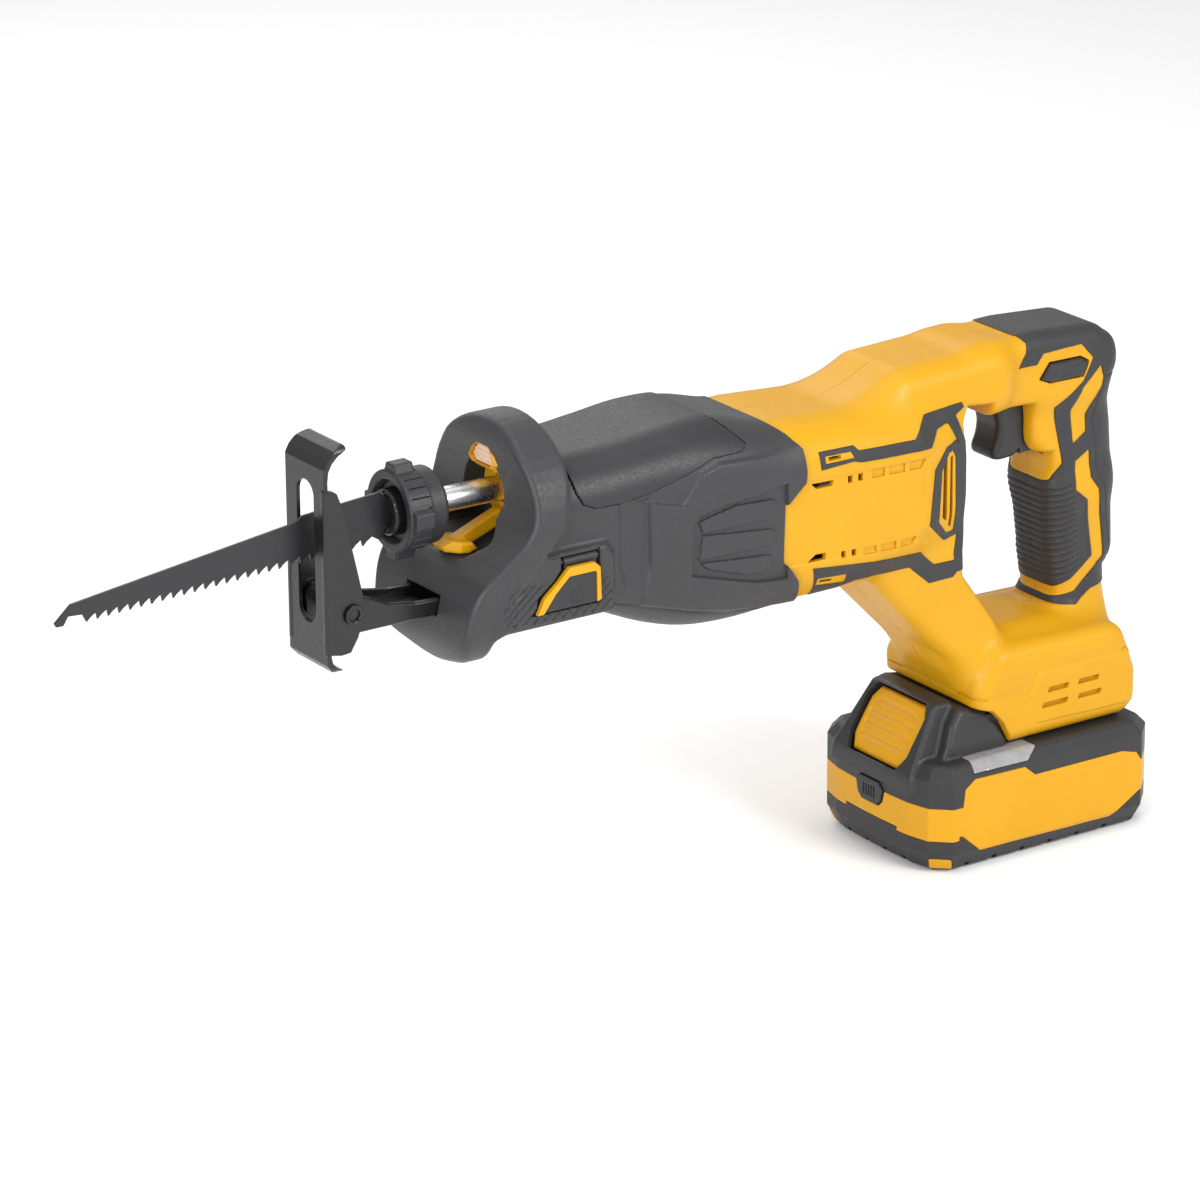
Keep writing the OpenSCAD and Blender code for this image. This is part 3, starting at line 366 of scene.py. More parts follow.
def housing(x, y, z):
    d0 = housing_solid(x, y, z)
    d = d0
    ay = np.abs(y)
    side = 14.0 - ay
    # boot lip and inlaid trims
    d = inlay_cut(d, np.maximum(bound_g(x, z), -160 - x), 1.3, -0.7)
    d = inlay_cut(d, trims_g(x, y, z), 1.2, -0.7)
    g = grip_g(x, y, z)
    d = inlay_cut(d, np.maximum(g, 90 - z), 1.4, -0.7)
    # recessed side panel, vents and embossed cells
    d = d + 0.55 * soft(np.maximum(poly(x, z, SIDE_PANEL), side), 1.2)
    for P in FAINT:
        d = carve(d, np.maximum(poly(x, z, P), side), 0.9)
    for P in VENTS:
        d = np.maximum(d, -np.maximum(poly(x, z, P) - 0.1, np.maximum(side, -(d0 + 5.0))))
    # base: seam, side panel and slots
    seam = line(x, z, [(-70, 72.3), (-37.8, 71.5), (-23, 70.4), (-6.9, 68.8), (-2.8, 78), (47.8, 79), (80, 79.6)])
    d = groove(d, seam, 0.35, 0.6)
    d = d - 0.5 * soft(np.maximum(poly(x, z, [(-1.5, 77), (49, 77.6), (50.5, 54), (-3.2, 55.2), (-5.0, 68)]), side), 1.0)
    for x0, x1, z0, z1 in ((3, 14, 67.9, 70.3), (19.4, 30.6, 68.1, 70.5), (0, 13.7, 61.3, 63.7), (19.5, 32, 61.5, 63.9)):
        sl = rbox(x - (x0 + x1) / 2 - 0.35 * (z - (z0 + z1) / 2), z - (z0 + z1) / 2, (x1 - x0) / 2, (z1 - z0) / 2, 0.5)
        d = np.maximum(d, -np.maximum(sl, np.maximum(side, -(d0 + 2.0))))
    # parting line
    d = groove(d, np.abs(y), 0.18, 0.45)
    # inner hollow, open to the boot
    inner = np.maximum(d0 + 2.9, 20 - z)
    inner = np.maximum(inner, 66.0 - z)
    d = np.maximum(d, -inner)
    # battery slideway, trigger and button wells
    d = np.maximum(d, -np.maximum(ay - 27.8, np.abs(z - 40) - 13.6))
    d = np.maximum(d, -np.maximum(np.maximum(ay - 30.4, np.abs(z - 55.0) - 7.6), x - 52))
    d = np.maximum(d, -box3(x, y, z, -8.8, 18.6, -9.8, 9.8, 165.6, 197.6))
    d = np.maximum(d, -np.maximum(poly(x, z, [(6.7, 203.2), (12.2, 210.1), (28.7, 210.1), (33.4, 207.4), (30.2, 200.7), (12.4, 200.7)]), -1.0))
    # front end cut off at x = -139.05
    d = np.maximum(d, -139.05 - x)
    return d
def trims(x, y, z):
    d = housing_solid(x, y, z)
    return inlay(d, trims_g(x, y, z), 0.55, 1.1, 0.45)
def grip_skin(x, y, z):
    d = housing_solid(x, y, z)
    g = np.maximum(grip_g(x, y, z), 90 - z)
    # raised spine, grooves along it and ribs for the fingers
    sp = poly(x, z, SPINE)
    d = d + 0.42 * np.exp(-(sp / 0.55) ** 2)
    cap = line(x, z, [(52, 213), (40, 211.5), (36.5, 204), (31.5, 196), (20.2, 188.2), (24.8, 163), (21.5, 157)])
    m = soft(poly(x, z, RIBS), 1.6)
    ph = (z - 0.22 * (x - 20) - 0.012 * (x - 20) ** 2) / 2.95
    w = 0.5 + 0.5 * np.cos(2 * math.pi * ph)
    d = d + 0.85 * m * w ** 1.6
    pad = soft(poly(x, z, [(28.6, 148.6), (34, 143.4), (38.2, 118.2), (33.8, 113.6)]), 1.0)
    d = d + 0.3 * pad
    out = np.maximum(rmax(g, d - 0.55, 0.5), -(housing_solid(x, y, z) + 1.3))
    out = np.maximum(out, -np.maximum(poly(x, z, [(6.7, 203.2), (12.2, 210.1), (28.7, 210.1), (33.4, 207.4), (30.2, 200.7), (12.4, 200.7)]), -1.0))
    return out

# ---- boot ----
BZ = [(-5.2, 222.6), (5.2, 222.6), (9.6, 219.2), (13.0, 213.3), (8.4, 208.9), (-8.4, 208.9), (-13.0, 213.3), (-9.6, 219.2)]
COVER = [(-238.4, 245), (-238.2, 215.4), (-236.6, 203.6), (-234, 198.8), (-228.9, 196.5), (-216.6, 196.2), (-203.4, 198.1), (-184.8, 203.1),
         (-172.4, 207), (-157.3, 207.3), (-154.9, 209.1), (-156.5, 210.9), (-164.1, 219), (-164.4, 245)]
BAND = [(-217, 196), (-203, 195.6), (-203.4, 168), (-207.9, 156.4), (-214.3, 159), (-217, 170.1)]
PANEL = [(-137.5, 190.2), (-152.2, 188.3), (-168.8, 186.9), (-180.4, 184.3), (-183.4, 180.5), (-184.1, 159.4), (-152, 150.6), (-137.5, 149.4)]
PADS = [[(-180.3, 181.7), (-162.8, 185.6), (-144.5, 184.8), (-142.6, 183.2), (-142.8, 177.7), (-146.2, 176.7), (-178.7, 176.7)],
        [(-178.7, 175.5), (-146.3, 172.3), (-143.7, 171.4), (-143.8, 166.7), (-146.3, 165.3), (-180.4, 165.2)],
        [(-180.0, 163.9), (-147.5, 161.3), (-144.8, 160.5), (-146.1, 155.6), (-148.6, 154.0), (-159.3, 155.4), (-176.0, 160.6)]]
BULGE = [(-188, 190), (-178.9, 202), (-170, 204.6), (-147, 203.4), (-133, 205), (-120, 205), (-120, 133), (-128, 134.5), (-165, 139), (-207, 150), (-203, 165), (-203.5, 194)]
NECK_PAD = [(-276.5, 157), (-268.5, 181.5), (-225, 181.5), (-221.5, 176), (-221.5, 152.2), (-276, 152.2)]
RIB_PAD = [(-270.9, 172), (-249.8, 169), (-229.1, 169), (-223.6, 166.9), (-223, 161), (-222.8, 153.5), (-273.3, 155.2), (-275.2, 163.2)]
def hexd(y, z, c=200.5):
    u, v = np.abs(y), np.abs(z - c)
    return np.maximum(v, u * 0.8660254 + v * 0.5)
def boot_out(x, y, z):
    t = tube(BOOT_S, x, y, z)
    d = rmax(t, -250.0 - x, 1)
    neck = rmax(poly(x, z, [(-245, 152.4), (-245, 196), (-250, 192), (-262, 178), (-272, 166), (-279, 154), (-279, 152.4)]), np.abs(y) - 33, 6)
    d = smin(d, neck, 3)
    pads = rmax(rmax(poly(x, z, NECK_PAD), np.abs(y) - 36.8, 2.2), z - 181.5, 1)
    d = smin(d, pads, 4)
    return d
def front_all(x, y, z):
    return smin(boot_out(x, y, z), guard(x, y, z), 5)
def boot(x, y, z):
    ay = np.abs(y)
    d0 = front_all(x, y, z)
    d = d0
    side = 20.0 - ay
    d = d - 1.3 * soft(np.maximum(poly(x, z, BULGE), side), 1.7)
    d = d + 1.2 * soft(np.maximum(poly(x, z, BAND), side), 3.0)
    d = d + 1.9 * soft(np.maximum(poly(x, z, PANEL), side), 0.9)
    for P in PADS:
        d = d - 1.15 * soft(np.maximum(poly(x, z, P), side), 0.7)
    d = d + 0.7 * np.exp(-(line(x, z, [(-219.6, 153), (-207.4, 150.3), (-180.5, 142.3), (-165.3, 139.4), (-140.8, 135.6)]) / 0.7) ** 2) * (ay > 20)
    # slanted ribs on the side pads
    m = soft(np.maximum(poly(x, z, RIB_PAD), side), 0.8)
    ph = (z * 0.78 - x * 0.62) / 3.0
    d = d + 0.95 * m * (0.5 + 0.5 * np.cos(2 * math.pi * ph)) ** 1.4
    # seat of the top cover, with a crisp seam round it
    gc = poly(x, z, COVER)
    d = inlay_cut(d, gc, 0.9, 0.45)
    # rear lip over the housing
    lip = np.maximum(bound_g(x, z), -(housing_solid(x, y, z) + 1.15))
    d = np.maximum(d, np.where(x > -139.3, lip, np.maximum(bound_g(x, z), x + 120)))
    # hollow
    t = np.maximum(tube(BOOT_S, x, y, z, 3.2), -246.6 - x)
    d = np.maximum(d, -np.maximum(t, x + 139.9))
    # rod hole, opening below it, lamp pocket and passage for the post
    flare = np.clip((-254 - x) * 0.3, 0, 5)
    hole = np.minimum(np.hypot(y, z - 200.5) - 14.2 - flare * 0.3, poly(y, z, [(-9.5, 195), (-17, 186), (-10, 180.5), (10, 180.5), (17, 186), (9.5, 195)]) - flare * 0.5)
    d = rmax(d, -np.maximum(hole, x + 252.0), 0.5)
    d = np.maximum(d, -np.maximum(np.hypot(y, z - 200.5) - 13.2, x + 240))
    d = np.maximum(d, -np.maximum(poly(y, z, BZ) + np.maximum(0, -257.2 - x) * 0.8 - 0.15, x + 252.5))
    d = rmax(d, -np.maximum(np.maximum(ay - 12.4, np.abs(z - 161.15) - 4.25), np.maximum(x + 230, -310 - x)), 0.4)
    # recess for the release lever
    d = np.maximum(d, -np.maximum(poly(x, z, [(-261.2, 157.6), (-257.4, 165), (-250.6, 171.3), (-246.4, 176.4), (-246.4, 179.8), (-228.9, 179.8), (-228.9, 157.4)]), y + 33.5))
    d = np.maximum(d, -np.maximum(poly(x, z, [(-247.5, 172), (-247.5, 181.4), (-228.5, 181.4), (-228.5, 172)]), y + 35.6))
    d = np.maximum(d, -np.maximum(poly(x, z, [(-261.5, 174), (-261.5, 179.8), (-228.5, 179.8), (-228.5, 174)]), np.maximum(y + 32.3, -36.0 - y)))
    return d
def cover(x, y, z):
    d = front_all(x, y, z)
    g = poly(x, z, COVER)
    return np.maximum(rmax(g, d - 0.8, 0.5), -(d + 0.85))
# ---- small parts ----
RZ = 200.5
def lever_rim_g(x, z):
    outer = poly(x, z, [(-259.6, 158.3), (-256.0, 165.0), (-249.7, 170.2), (-244.2, 175.6), (-232.2, 175.6), (-229.5, 173.2), (-229.0, 159.6), (-231.2, 158.6)])
    inner = poly(x, z, [(-258.2, 156.6), (-250.8, 165.9), (-244.4, 171.9), (-232.0, 171.9), (-231.2, 171.0), (-231.0, 156.6)])
    return outer, inner
def lever_rim(x, y, z):
    o, i = lever_rim_g(x, z)
    g = np.maximum(rmax(o, -i, 0.4), 158.2 - z)
    return rmax(g, np.abs(y + 37.3) - 1.25, 0.4)
def lever(x, y, z):
    o, i = lever_rim_g(x, z)
    face = rmax(np.maximum(i + 0.15, 158.8 - z), np.abs(y + 36.25) - 1.85, 0.5)
    back = rmax(np.maximum(o + 0.2, 159.4 - z), np.abs(y + 35.2) - 0.8, 0.3)
    stem = np.maximum(poly(x, z, [(-245.4, 172), (-245.4, 177.5), (-230.0, 177.5), (-230.0, 172)]), np.abs(y + 35.2) - 0.8)
    hub = np.maximum(np.hypot(y + 34.8, z - 177.4) - 1.85, np.abs(x + 237.7) - 7.9)
    d = np.minimum(np.minimum(face, back), np.minimum(stem, hub))
    d = np.maximum(d, -(np.hypot(y + 34.8, z - 177.4) - 0.96))
    # raised open padlock mark
    lock = np.abs(rbox(x + 240.6, z - 162.6, 2.6, 2.2, 0.5)) - 0.28
    arch = np.maximum(np.abs(np.hypot(x + 240.6, z - 166.2) - 1.7) - 0.28, 166.0 - z)
    legs = np.maximum(np.abs(np.abs(x + 240.6) - 1.7) - 0.28, np.abs(z - 165.4) - 0.7)
    mark = np.minimum(lock, np.minimum(arch, legs))
    return np.minimum(d, rmax(mark, np.abs(y + 37.9) - 0.45, 0.15))
LZ = [(-3.9, 220.0), (3.9, 220.0), (6.7, 217.6), (8.6, 213.9), (5.6, 211.6), (-5.6, 211.6), (-8.6, 213.9), (-6.7, 217.6)]
def bezel(x, y, z):
    d = rmax(poly(y, z, BZ) + np.maximum(0, -257.2 - x) * 0.8, np.maximum(-261.2 - x, x + 250.5), 0.7)
    return rmax(d, -np.maximum(poly(y, z, LZ), x + 257.0), 0.4)
def lens(x, y, z):
    d = rmax(poly(y, z, LZ) + 0.12, np.maximum(-259.6 - x, x + 257.1), 0.8)
    return d - 0.10 * np.cos(z * 3.1) * (x < -258.6)
def nose_trim(x, y, z):
    foot = rmax(poly(x, z, [(-282.5, 182.0), (-279.0, 184.4), (-270.5, 183.0), (-268.0, 180.0), (-272.0, 178.6), (-281.0, 179.8)]), np.abs(y) - 8.4 + np.maximum(0, -276 - x) * 0.7, 1.2)
    arm = rmax(poly(x, z, [(-277.5, 183.2), (-253.5, 192.4), (-252.1, 189.6), (-252.1, 186.2), (-270.0, 179.6)]), np.abs(y) - 2.8, 1.0)
    ringx = rmax(np.abs(np.hypot(y, z - RZ) - 9.4) - 3.3, np.abs(x + 250.5) - 0.9, 0.4)
    return np.minimum(smin(foot, arm, 1.5), ringx)
def collar(x, y, z):
    r = np.hypot(y, z - RZ)
    a = np.arctan2(z - RZ, y)
    body = rmax(r - 17.0, np.maximum(-304.6 - x, x + 293.4), 1.0)
    rear = rmax(r - 15.8, np.maximum(-295 - x, x + 286.0), 1.4)
    d = np.minimum(body, rear)
    # grip flats round the front band, four raised tabs
    k = 24
    w = np.abs(((a * k / (2 * math.pi)) % 1) - 0.5) * 2
    rib = np.clip((w - 0.86) * 9, 0, 1)
    m = soft(np.maximum(-302.4 - x, x + 294.4), 0.8)
    d = d + 0.75 * rib * m * (r > 14)
    for i in range(4):
        t = math.radians(90 * i)
        u = y * math.cos(t) + (z - RZ) * math.sin(t)
        v = -y * math.sin(t) + (z - RZ) * math.cos(t)
        tab = rmax(rmax(u - 20.0, np.abs(v) - 4.4 + np.maximum(0, u - 16.6) * 0.35, 0.8), np.maximum(-303.8 - x, x + 295.0), 0.8)
        tab = np.maximum(tab, 13 - u)
        d = smin(d, tab, 0.6)
    d = rmax(d, -np.maximum(r - 12.0 - np.clip(-302 - x, 0, 3) * 0.5, x + 301.0), 0.5)
    d = np.maximum(d, -(r - 9.8))
    return np.maximum(d, -np.maximum(r - 13.0, -298.5 - x))
def clamp(x, y, z):
    r = np.hypot(y, z - RZ)
    d = rmax(r - 9.5, np.maximum(-306.4 - x, x + 283.4), 0.5)
    d = np.minimum(d, rmax(r - 12.4, np.abs(x + 285.4) - 1.4, 0.4))
    # coils of the clamp spring at the mouth
    for k, (rr, xx) in enumerate(((8.4, -306.3), (7.2, -305.6), (6.1, -304.9))):
        d = np.minimum(d, np.hypot(r - rr, x - xx) - 0.55)
    d = np.maximum(d, -np.maximum(r - 5.6, x + 300))
    d = np.maximum(d, -(np.maximum(np.maximum(np.abs(y) - 0.72, np.abs(z - RZ) - 9.0), x + 297.5)))
    return np.maximum(d, -np.maximum(r - 5.25, -297 - x))
NT = 27
TEETH = []
for i in range(NT):
    xa = -313 - i * 4.8
    za = 189.4 - 0.045 * (i + 1) * 4.8
    TEETH += [(xa, za + 2.6), (xa - 2.6, za + 0.9), (xa - 4.2, za - 0.6)]
BLADE = [(-456, 185), (-448.7, 191.5), (-348, 204.6), (-344.5, 206.8), (-309, 209.6), (-307, 207.6), (-300, 206), (-298, 206), (-298, 195), (-306, 195), (-309, 189.4)] + TEETH + \
        [(-443.8, 186.4), (-450, 186.8), (-452.2, 183.4), (-455.3, 183.5)]
def extrude(P, y0, y1, n=0, wave=None):
    """Closed solid from a side outline between two y planes, as triangles with a narrow chamfer."""
    from mathutils.geometry import tessellate_polygon
    P = np.asarray(P, float)
    A = 0.5 * np.sum(P[:, 0] * np.roll(P[:, 1], -1) - np.roll(P[:, 0], -1) * P[:, 1])
    if A < 0:
        P = P[::-1]
    m = len(P)
    e = np.roll(P, -1, 0) - P
    e /= np.linalg.norm(e, axis=1)[:, None]
    nrm = np.stack([e[:, 1], -e[:, 0]], 1)
    b = nrm + np.roll(nrm, 1, 0)
    b /= np.maximum(np.linalg.norm(b, axis=1), 0.35)[:, None]
    c = 0.16
    rings = [(y0, -c), (y0 + c, 0), (y1 - c, 0), (y1, -c)]
    V = np.concatenate([np.stack([P[:, 0] + b[:, 0] * o, np.full(m, yy), P[:, 1] + b[:, 1] * o], 1) for yy, o in rings])
    tri = tessellate_polygon([[Vector((p[0], p[1], 0)) for p in P]])
    F = []
    for t in tri:
        a, bb, cc = t
        ar = (P[bb][0] - P[a][0]) * (P[cc][1] - P[a][1]) - (P[cc][0] - P[a][0]) * (P[bb][1] - P[a][1])
        if ar < 0:
            bb, cc = cc, bb
        F.append((a, bb, cc))
        F.append((3 * m + a, 3 * m + cc, 3 * m + bb))
    for k in range(3):
        for i in range(m):
            j = (i + 1) % m
            p, q, r_, s_ = k * m + i, k * m + j, (k + 1) * m + j, (k + 1) * m + i
            F.append((p, r_, q))
            F.append((p, s_, r_))
    return V, np.array(F)
SHEET = [(-332.7, 236.2), (-336.4, 234.3), (-339.4, 231.4), (-341.2, 228.0), (-341.75, 224.0), (-341.75, 151.2), (-341.0, 147.9), (-338.9, 145.3), (-335.4, 143.4)]
def shoe(x0, y, z):
    x = x0 + 0.8
    sheet = rmax(line(x, z, SHEET) - 1.24, np.abs(y) - 14.8, 0.5)
    sheet = np.maximum(sheet, -343 - x0)
    sheet = rmax(sheet, rbox(y, z - 190.5, 14.8, 47.2, 4.5), 0.3)
    ear = poly(x, z, [(-342.6, 152.2), (-336, 150.9), (-331.6, 151.2), (-328.0, 157), (-325.0, 166), (-325.2, 173), (-329, 190), (-332.5, 205), (-334.8, 214), (-336.4, 218.2), (-338.4, 219.6), (-342.6, 219.9)])
    ear = np.where(y > 0, rmax(ear, z - 189.5, 2.5), ear)
    ear = rmax(ear, np.abs(np.abs(y) - 13.55) - 1.25, 0.5)
    ear = rmax(ear, rbox(x + 333.5, np.abs(y) - 4.8, 9.5, 10.0, 2.2), 0.2)
    d = smin(np.where(x < -339.5, rmax(sheet, rbox(x + 333.5, y, 9.5, 14.8, 2.0) - 0.0, 0.1), sheet), ear, 0.8)
    slot = rbox(y, z - 192, 6.4, 29.6, 6.35)
    d = rmax(d, -np.maximum(slot, x + 339), 0.25)
    return np.maximum(d, -(np.hypot(x0 + 331, z - 167) - 3.22))
def shoe_post(x, y, z):
    P = [(-338, 163), (-338, 171), (-335, 173.8), (-328, 173.6), (-320, 170.4), (-312, 166.6), (-300, 164.5), (-291, 164.2), (-226, 164.2), (-226, 157.4), (-327, 157.4), (-335, 160.2)]
    p = poly(x, z, P)
    d = rmax(smin(p, np.hypot(x + 331, z - 167) - 6.9, 1.5), np.abs(y) - 11.8, 1.0)
    inner = np.maximum(np.maximum(np.abs(y) - 9.1, 160.1 - z), np.maximum(x + 232.5, -346 - x))
    d = rmax(d, -inner, 0.5)
    d = np.maximum(d, -np.maximum(poly(x, z, [(-346, 150), (-346, 161), (-326, 161), (-318, 156)]), np.abs(y) - 9.1))
    boss = rmax(np.hypot(x + 331, z - 167) - 6.4, np.abs(np.abs(y) - 10.6) - 1.35, 0.5)
    d = np.minimum(d, boss)
    # long stop slots in the floor
    d = np.maximum(d, -np.maximum(rbox(x + 262, y, 22, 2.6, 2.5), np.abs(z - 158.6) - 2.6))
    d = np.maximum(d, -np.maximum(rbox(x + 306, y, 10, 2.6, 2.5), np.abs(z - 158.6) - 2.6))
    return np.maximum(d, -(np.hypot(x + 331, z - 167) - 3.16))
def shoe_pin(x, y, z):
    r = np.hypot(x + 331, z - 167)
    ay = np.abs(y)
    d = rmax(r - 3.1, ay - 15.2, 0.2)
    head = rmax(r - 4.2, np.abs(ay - 15.75) - 0.62, 0.35)
    d = np.minimum(d, head)
    return rmax(d, -np.maximum(r - 2.5 - np.clip(ay - 15.9, 0, 1), 15.0 - ay), 0.25)
# ---- trigger and buttons ----
TRIG = smooth_rows([(-5.4, 195.4), (-6.4, 189.5), (-6.2, 185.0), (-5.4, 180.6), (-6.2, 175.2), (-8.0, 170.6), (-7.4, 167.4), (-4, 166.2), (1, 166.4), (3.6, 166.8)], 3)
TRIG_P = [tuple(p) for p in TRIG] + [(6, 168.2), (13, 168.6), (13, 196), (-5.4, 196)]
def trigger(x, y, z):
    d = rmax(poly(x, z, TRIG_P), np.abs(y) - 9.3, 3.6)
    body = np.maximum(np.maximum(poly(x, z, TRIG_P), np.abs(y) - 9.3), 5.5 - x)
    d = np.minimum(d, body)
    d = np.maximum(d, -box3(x, y, z, 2, 12, -5, 5, 171, 194))
    return np.maximum(d, -np.maximum(np.hypot(y, z - 184) - 3, -3.1 - x))
def lock_button(x, y, z):
    d = rmax(poly(x, z, [(7.3, 203.2), (12.5, 209.5), (28.5, 209.5), (32.7, 207.1), (29.8, 201.3), (12.7, 201.3)]), np.abs(y) - 21.9, 1.8)
    g = np.abs(x - 20) - 3.5
    return d + 0.3 * soft(np.maximum(g, np.maximum(np.abs(z - 205.4) - 2.6, 18 - np.abs(y))), 1.2)
# ---- battery ----
def BX(x, y, z):
    bul = 1.9 * np.clip(1 - (y / 35.0) ** 2, 0, 1) * soft(np.maximum(x + 45, np.abs(z - 21) - 26), 6)
    return x + bul
PK = [(-62.2, -25), (-60.6, -35.5), (-53, -42.5), (48.4, -42.5), (57.6, -33.3), (57.6, 33.3), (48.4, 42.5), (-53, 42.5), (-60.6, 35.5), (-62.2, 25)]
BAND_S = [(-80, 16.1), (-48.5, 16.1), (-38.6, 7.4), (32.5, 6.3), (48.2, 15.5), (80, 15.5), (80, 29.4), (48.9, 29.4), (46.1, 33.5), (38.1, 35.7), (-9.5, 35.7), (-15.1, 40.4),
          (-42, 40.9), (-47.3, 37), (-48.2, 29.3), (-80, 29.3)]
def pack_solid(x, y, z):
    xb = BX(x, y, z)
    d = poly(xb, y, PK) - 1.0
    # lower edge drawn in, upper edge bevelled
    low = np.maximum(0, 8.5 - z) * 0.5
    d = d + low
    up = np.maximum(0, z - 41.6) * 0.9
    d = rmax(d + up, z - 47.15, 1.6)
    return rmax(d, -z + 0.02, 1.2)
def uvw(x, z):
    return (x + 61.5) * 0.8517 - (z - 40) * 0.524, (x + 61.5) * 0.524 + (z - 40) * 0.8517
OCT = [(-16.5, 0), (16.5, 0), (19.8, 6.6), (19.8, 24.4), (16.5, 30.4), (-16.5, 30.4), (-19.8, 24.4), (-19.8, 6.6)]
def hood2(x, y, z):
    ay = np.abs(y)
    u, w = uvw(x, z)
    face = rmax(-(u + 3.9), -65.6 - x, 1.5)
    sides = (ay - 27.0) * 0.94 + (z - 46) * 0.20
    h = rmax(rmax(face, sides, 2.2), z - 69, 2)
    h = rmax(h, x + 39.1, 0.6)
    h = np.maximum(h, 34 - z)
    # shoulder under the raised edge of the base
    sh = rmax(poly(x, z, [(-54, 40), (-45, 60.5), (-40, 66.4), (-37.4, 66.9), (-26.8, 64.6), (-21.1, 58.5), (-15.4, 47.1), (-15.4, 40)]), (ay - 32.5) + np.maximum(0, z - 52) * 0.28, 2.4)
    return smin(h, sh, 1.5)
def upper_all(x, y, z):
    d = smin(pack_solid(x, y, z), hood2(x, y, z), 1.6)
    return d
def band_g(x, y, z):
    g = poly(x, z, BAND_S)
    g = np.minimum(g, np.maximum(np.maximum(18 - np.abs(y), np.abs(z - 16) - 1.7), x + 50))
    return g
def battery_band(x, y, z):
    d = pack_solid(x, y, z)
    g = band_g(x, y, z)
    o = rmax(g, d - 0.02, 0.4)
    o = np.maximum(o, -(d + 2.2))
    o = np.maximum(o, -np.maximum(gauge_g(x, y, z) - 0.3, x + 50))
    o = np.maximum(o, -np.maximum(window_g(x, y, z) - 0.2, z - 60))
    return o
def gauge_g(x, y, z):
    return poly(y, z, [(-9.6, 29.6), (-6.4, 33.0), (6.4, 33.0), (9.6, 29.6), (8.2, 24.4), (5.6, 21.9), (-5.6, 21.9), (-8.2, 24.4)])
def window_g(x, y, z):
    g = poly(x, z, [(-41, 47.6), (-8.8, 47.6), (-6, 46.8), (-13, 42.6), (-41.6, 42.8)])
    return np.maximum(g, 30 - np.abs(y))
def gauge(x, y, z):
    f = rmax(gauge_g(x, y, z) + 0.25, np.maximum(-66.0 - x, x + 63.4), 0.5)
    for k in range(5):
        f = np.maximum(f, -np.maximum(rbox(y - (-3.6 + 1.8 * k) - 0.0, z - 27.4, 0.42, 2.6, 0.2), x + 65.5))
    return f
def battery_upper(x, y, z):
    d = upper_all(x, y, z)
    up = 24 - z
    o = np.maximum(d, 9.2 - z)
    o = np.maximum(o, -(np.maximum(band_g(x, y, z) - 0.12, -(pack_solid(x, y, z) + 2.35))))
    o = np.maximum(o, 18.0 - z)
    o = np.maximum(o, -np.maximum(window_g(x, y, z) - 0.1, -(pack_solid(x, y, z) + 1.1)))
    # hollow for the cells and board
    o = np.maximum(o, -np.maximum(pack_solid(x, y, z) + 3.0, z - 44.2))
    u, w = uvw(x, z)
    pocket = np.maximum(poly(y, w, OCT) - 0.45, np.maximum(u - 7.5, -9 - u))
    o = rmax(o, -pocket, 0.35)
    o = np.maximum(o, -np.maximum(gauge_g(x, y, z) - 0.3, x + 57))
    ay = np.abs(y)
    # rail platform and terminal slots
    plat = np.maximum(np.maximum(ay - 27.4, np.abs(z - 50) - 4.1), np.maximum(-40 - x, x - 48))
    plat = np.minimum(plat, np.maximum(np.maximum(ay - 29.9, np.abs(z - 57.5) - 4.6), np.maximum(-38 - x, x - 45.8)))
    o = np.minimum(o, plat)
    for yy in (-16, -6, 6, 16):
        o = np.maximum(o, -np.maximum(np.maximum(np.abs(y - yy) - 0.9, np.abs(z - 59) - 4.4), 22 - x))
    o = np.maximum(o, -np.maximum(np.maximum(ay - 23, 53.5 - z), 45.7 - x))
    return o
def battery_lower(x, y, z):
    d = pack_solid(x, y, z)
    o = np.maximum(d, z - 24)
    o = np.maximum(o, -(np.maximum(band_g(x, y, z) - 0.12, -(d + 2.35))))
    o = np.maximum(o, z - 17.8)
    # notches along the lower edge
    feet = np.maximum(np.abs(((x + 6) % 15.0) - 7.5) - 1.1, np.maximum(z - 2.4, 33 - np.abs(y)))
    o = np.maximum(o, -np.maximum(feet, np.abs(x) - 46))
    feet2 = np.maximum(np.abs((y % 13.0) - 6.5) - 1.3, np.maximum(z - 2.4, x + 51))
    o = np.maximum(o, -np.maximum(feet2, np.abs(y) - 26))
    o = inlay_cut(o, pad_g(x, y, z), 1.6, 0.12)
    o = np.maximum(o, -np.maximum(d + 3.0, 2.6 - z))
    for q in ((-40, -28), (-40, 28), (40, -28), (40, 28)):
        o = np.maximum(o, -np.maximum(np.hypot(x - q[0], y - q[1]) - 2.7, z - 1.5))
    return o
def pad_g(x, y, z):
    t = (x + 57.0) * 0.735 + (np.abs(y) - 38.9) * 0.678
    return np.maximum(rbox(t, z - 3.4, 4.9, 2.5, 0.9), x + 45)
def corner_pads(x, y, z):
    d = pack_solid(x, y, z)
    return np.maximum(rmax(pad_g(x, y, z), d - 0.35, 0.4), np.maximum(-(d + 1.5), -(z - 0.1)))
def windows(x, y, z):
    d = pack_solid(x, y, z)
    return np.maximum(rmax(window_g(x, y, z) + 0.05, d - 0.02, 0.25), -(d + 1.0))
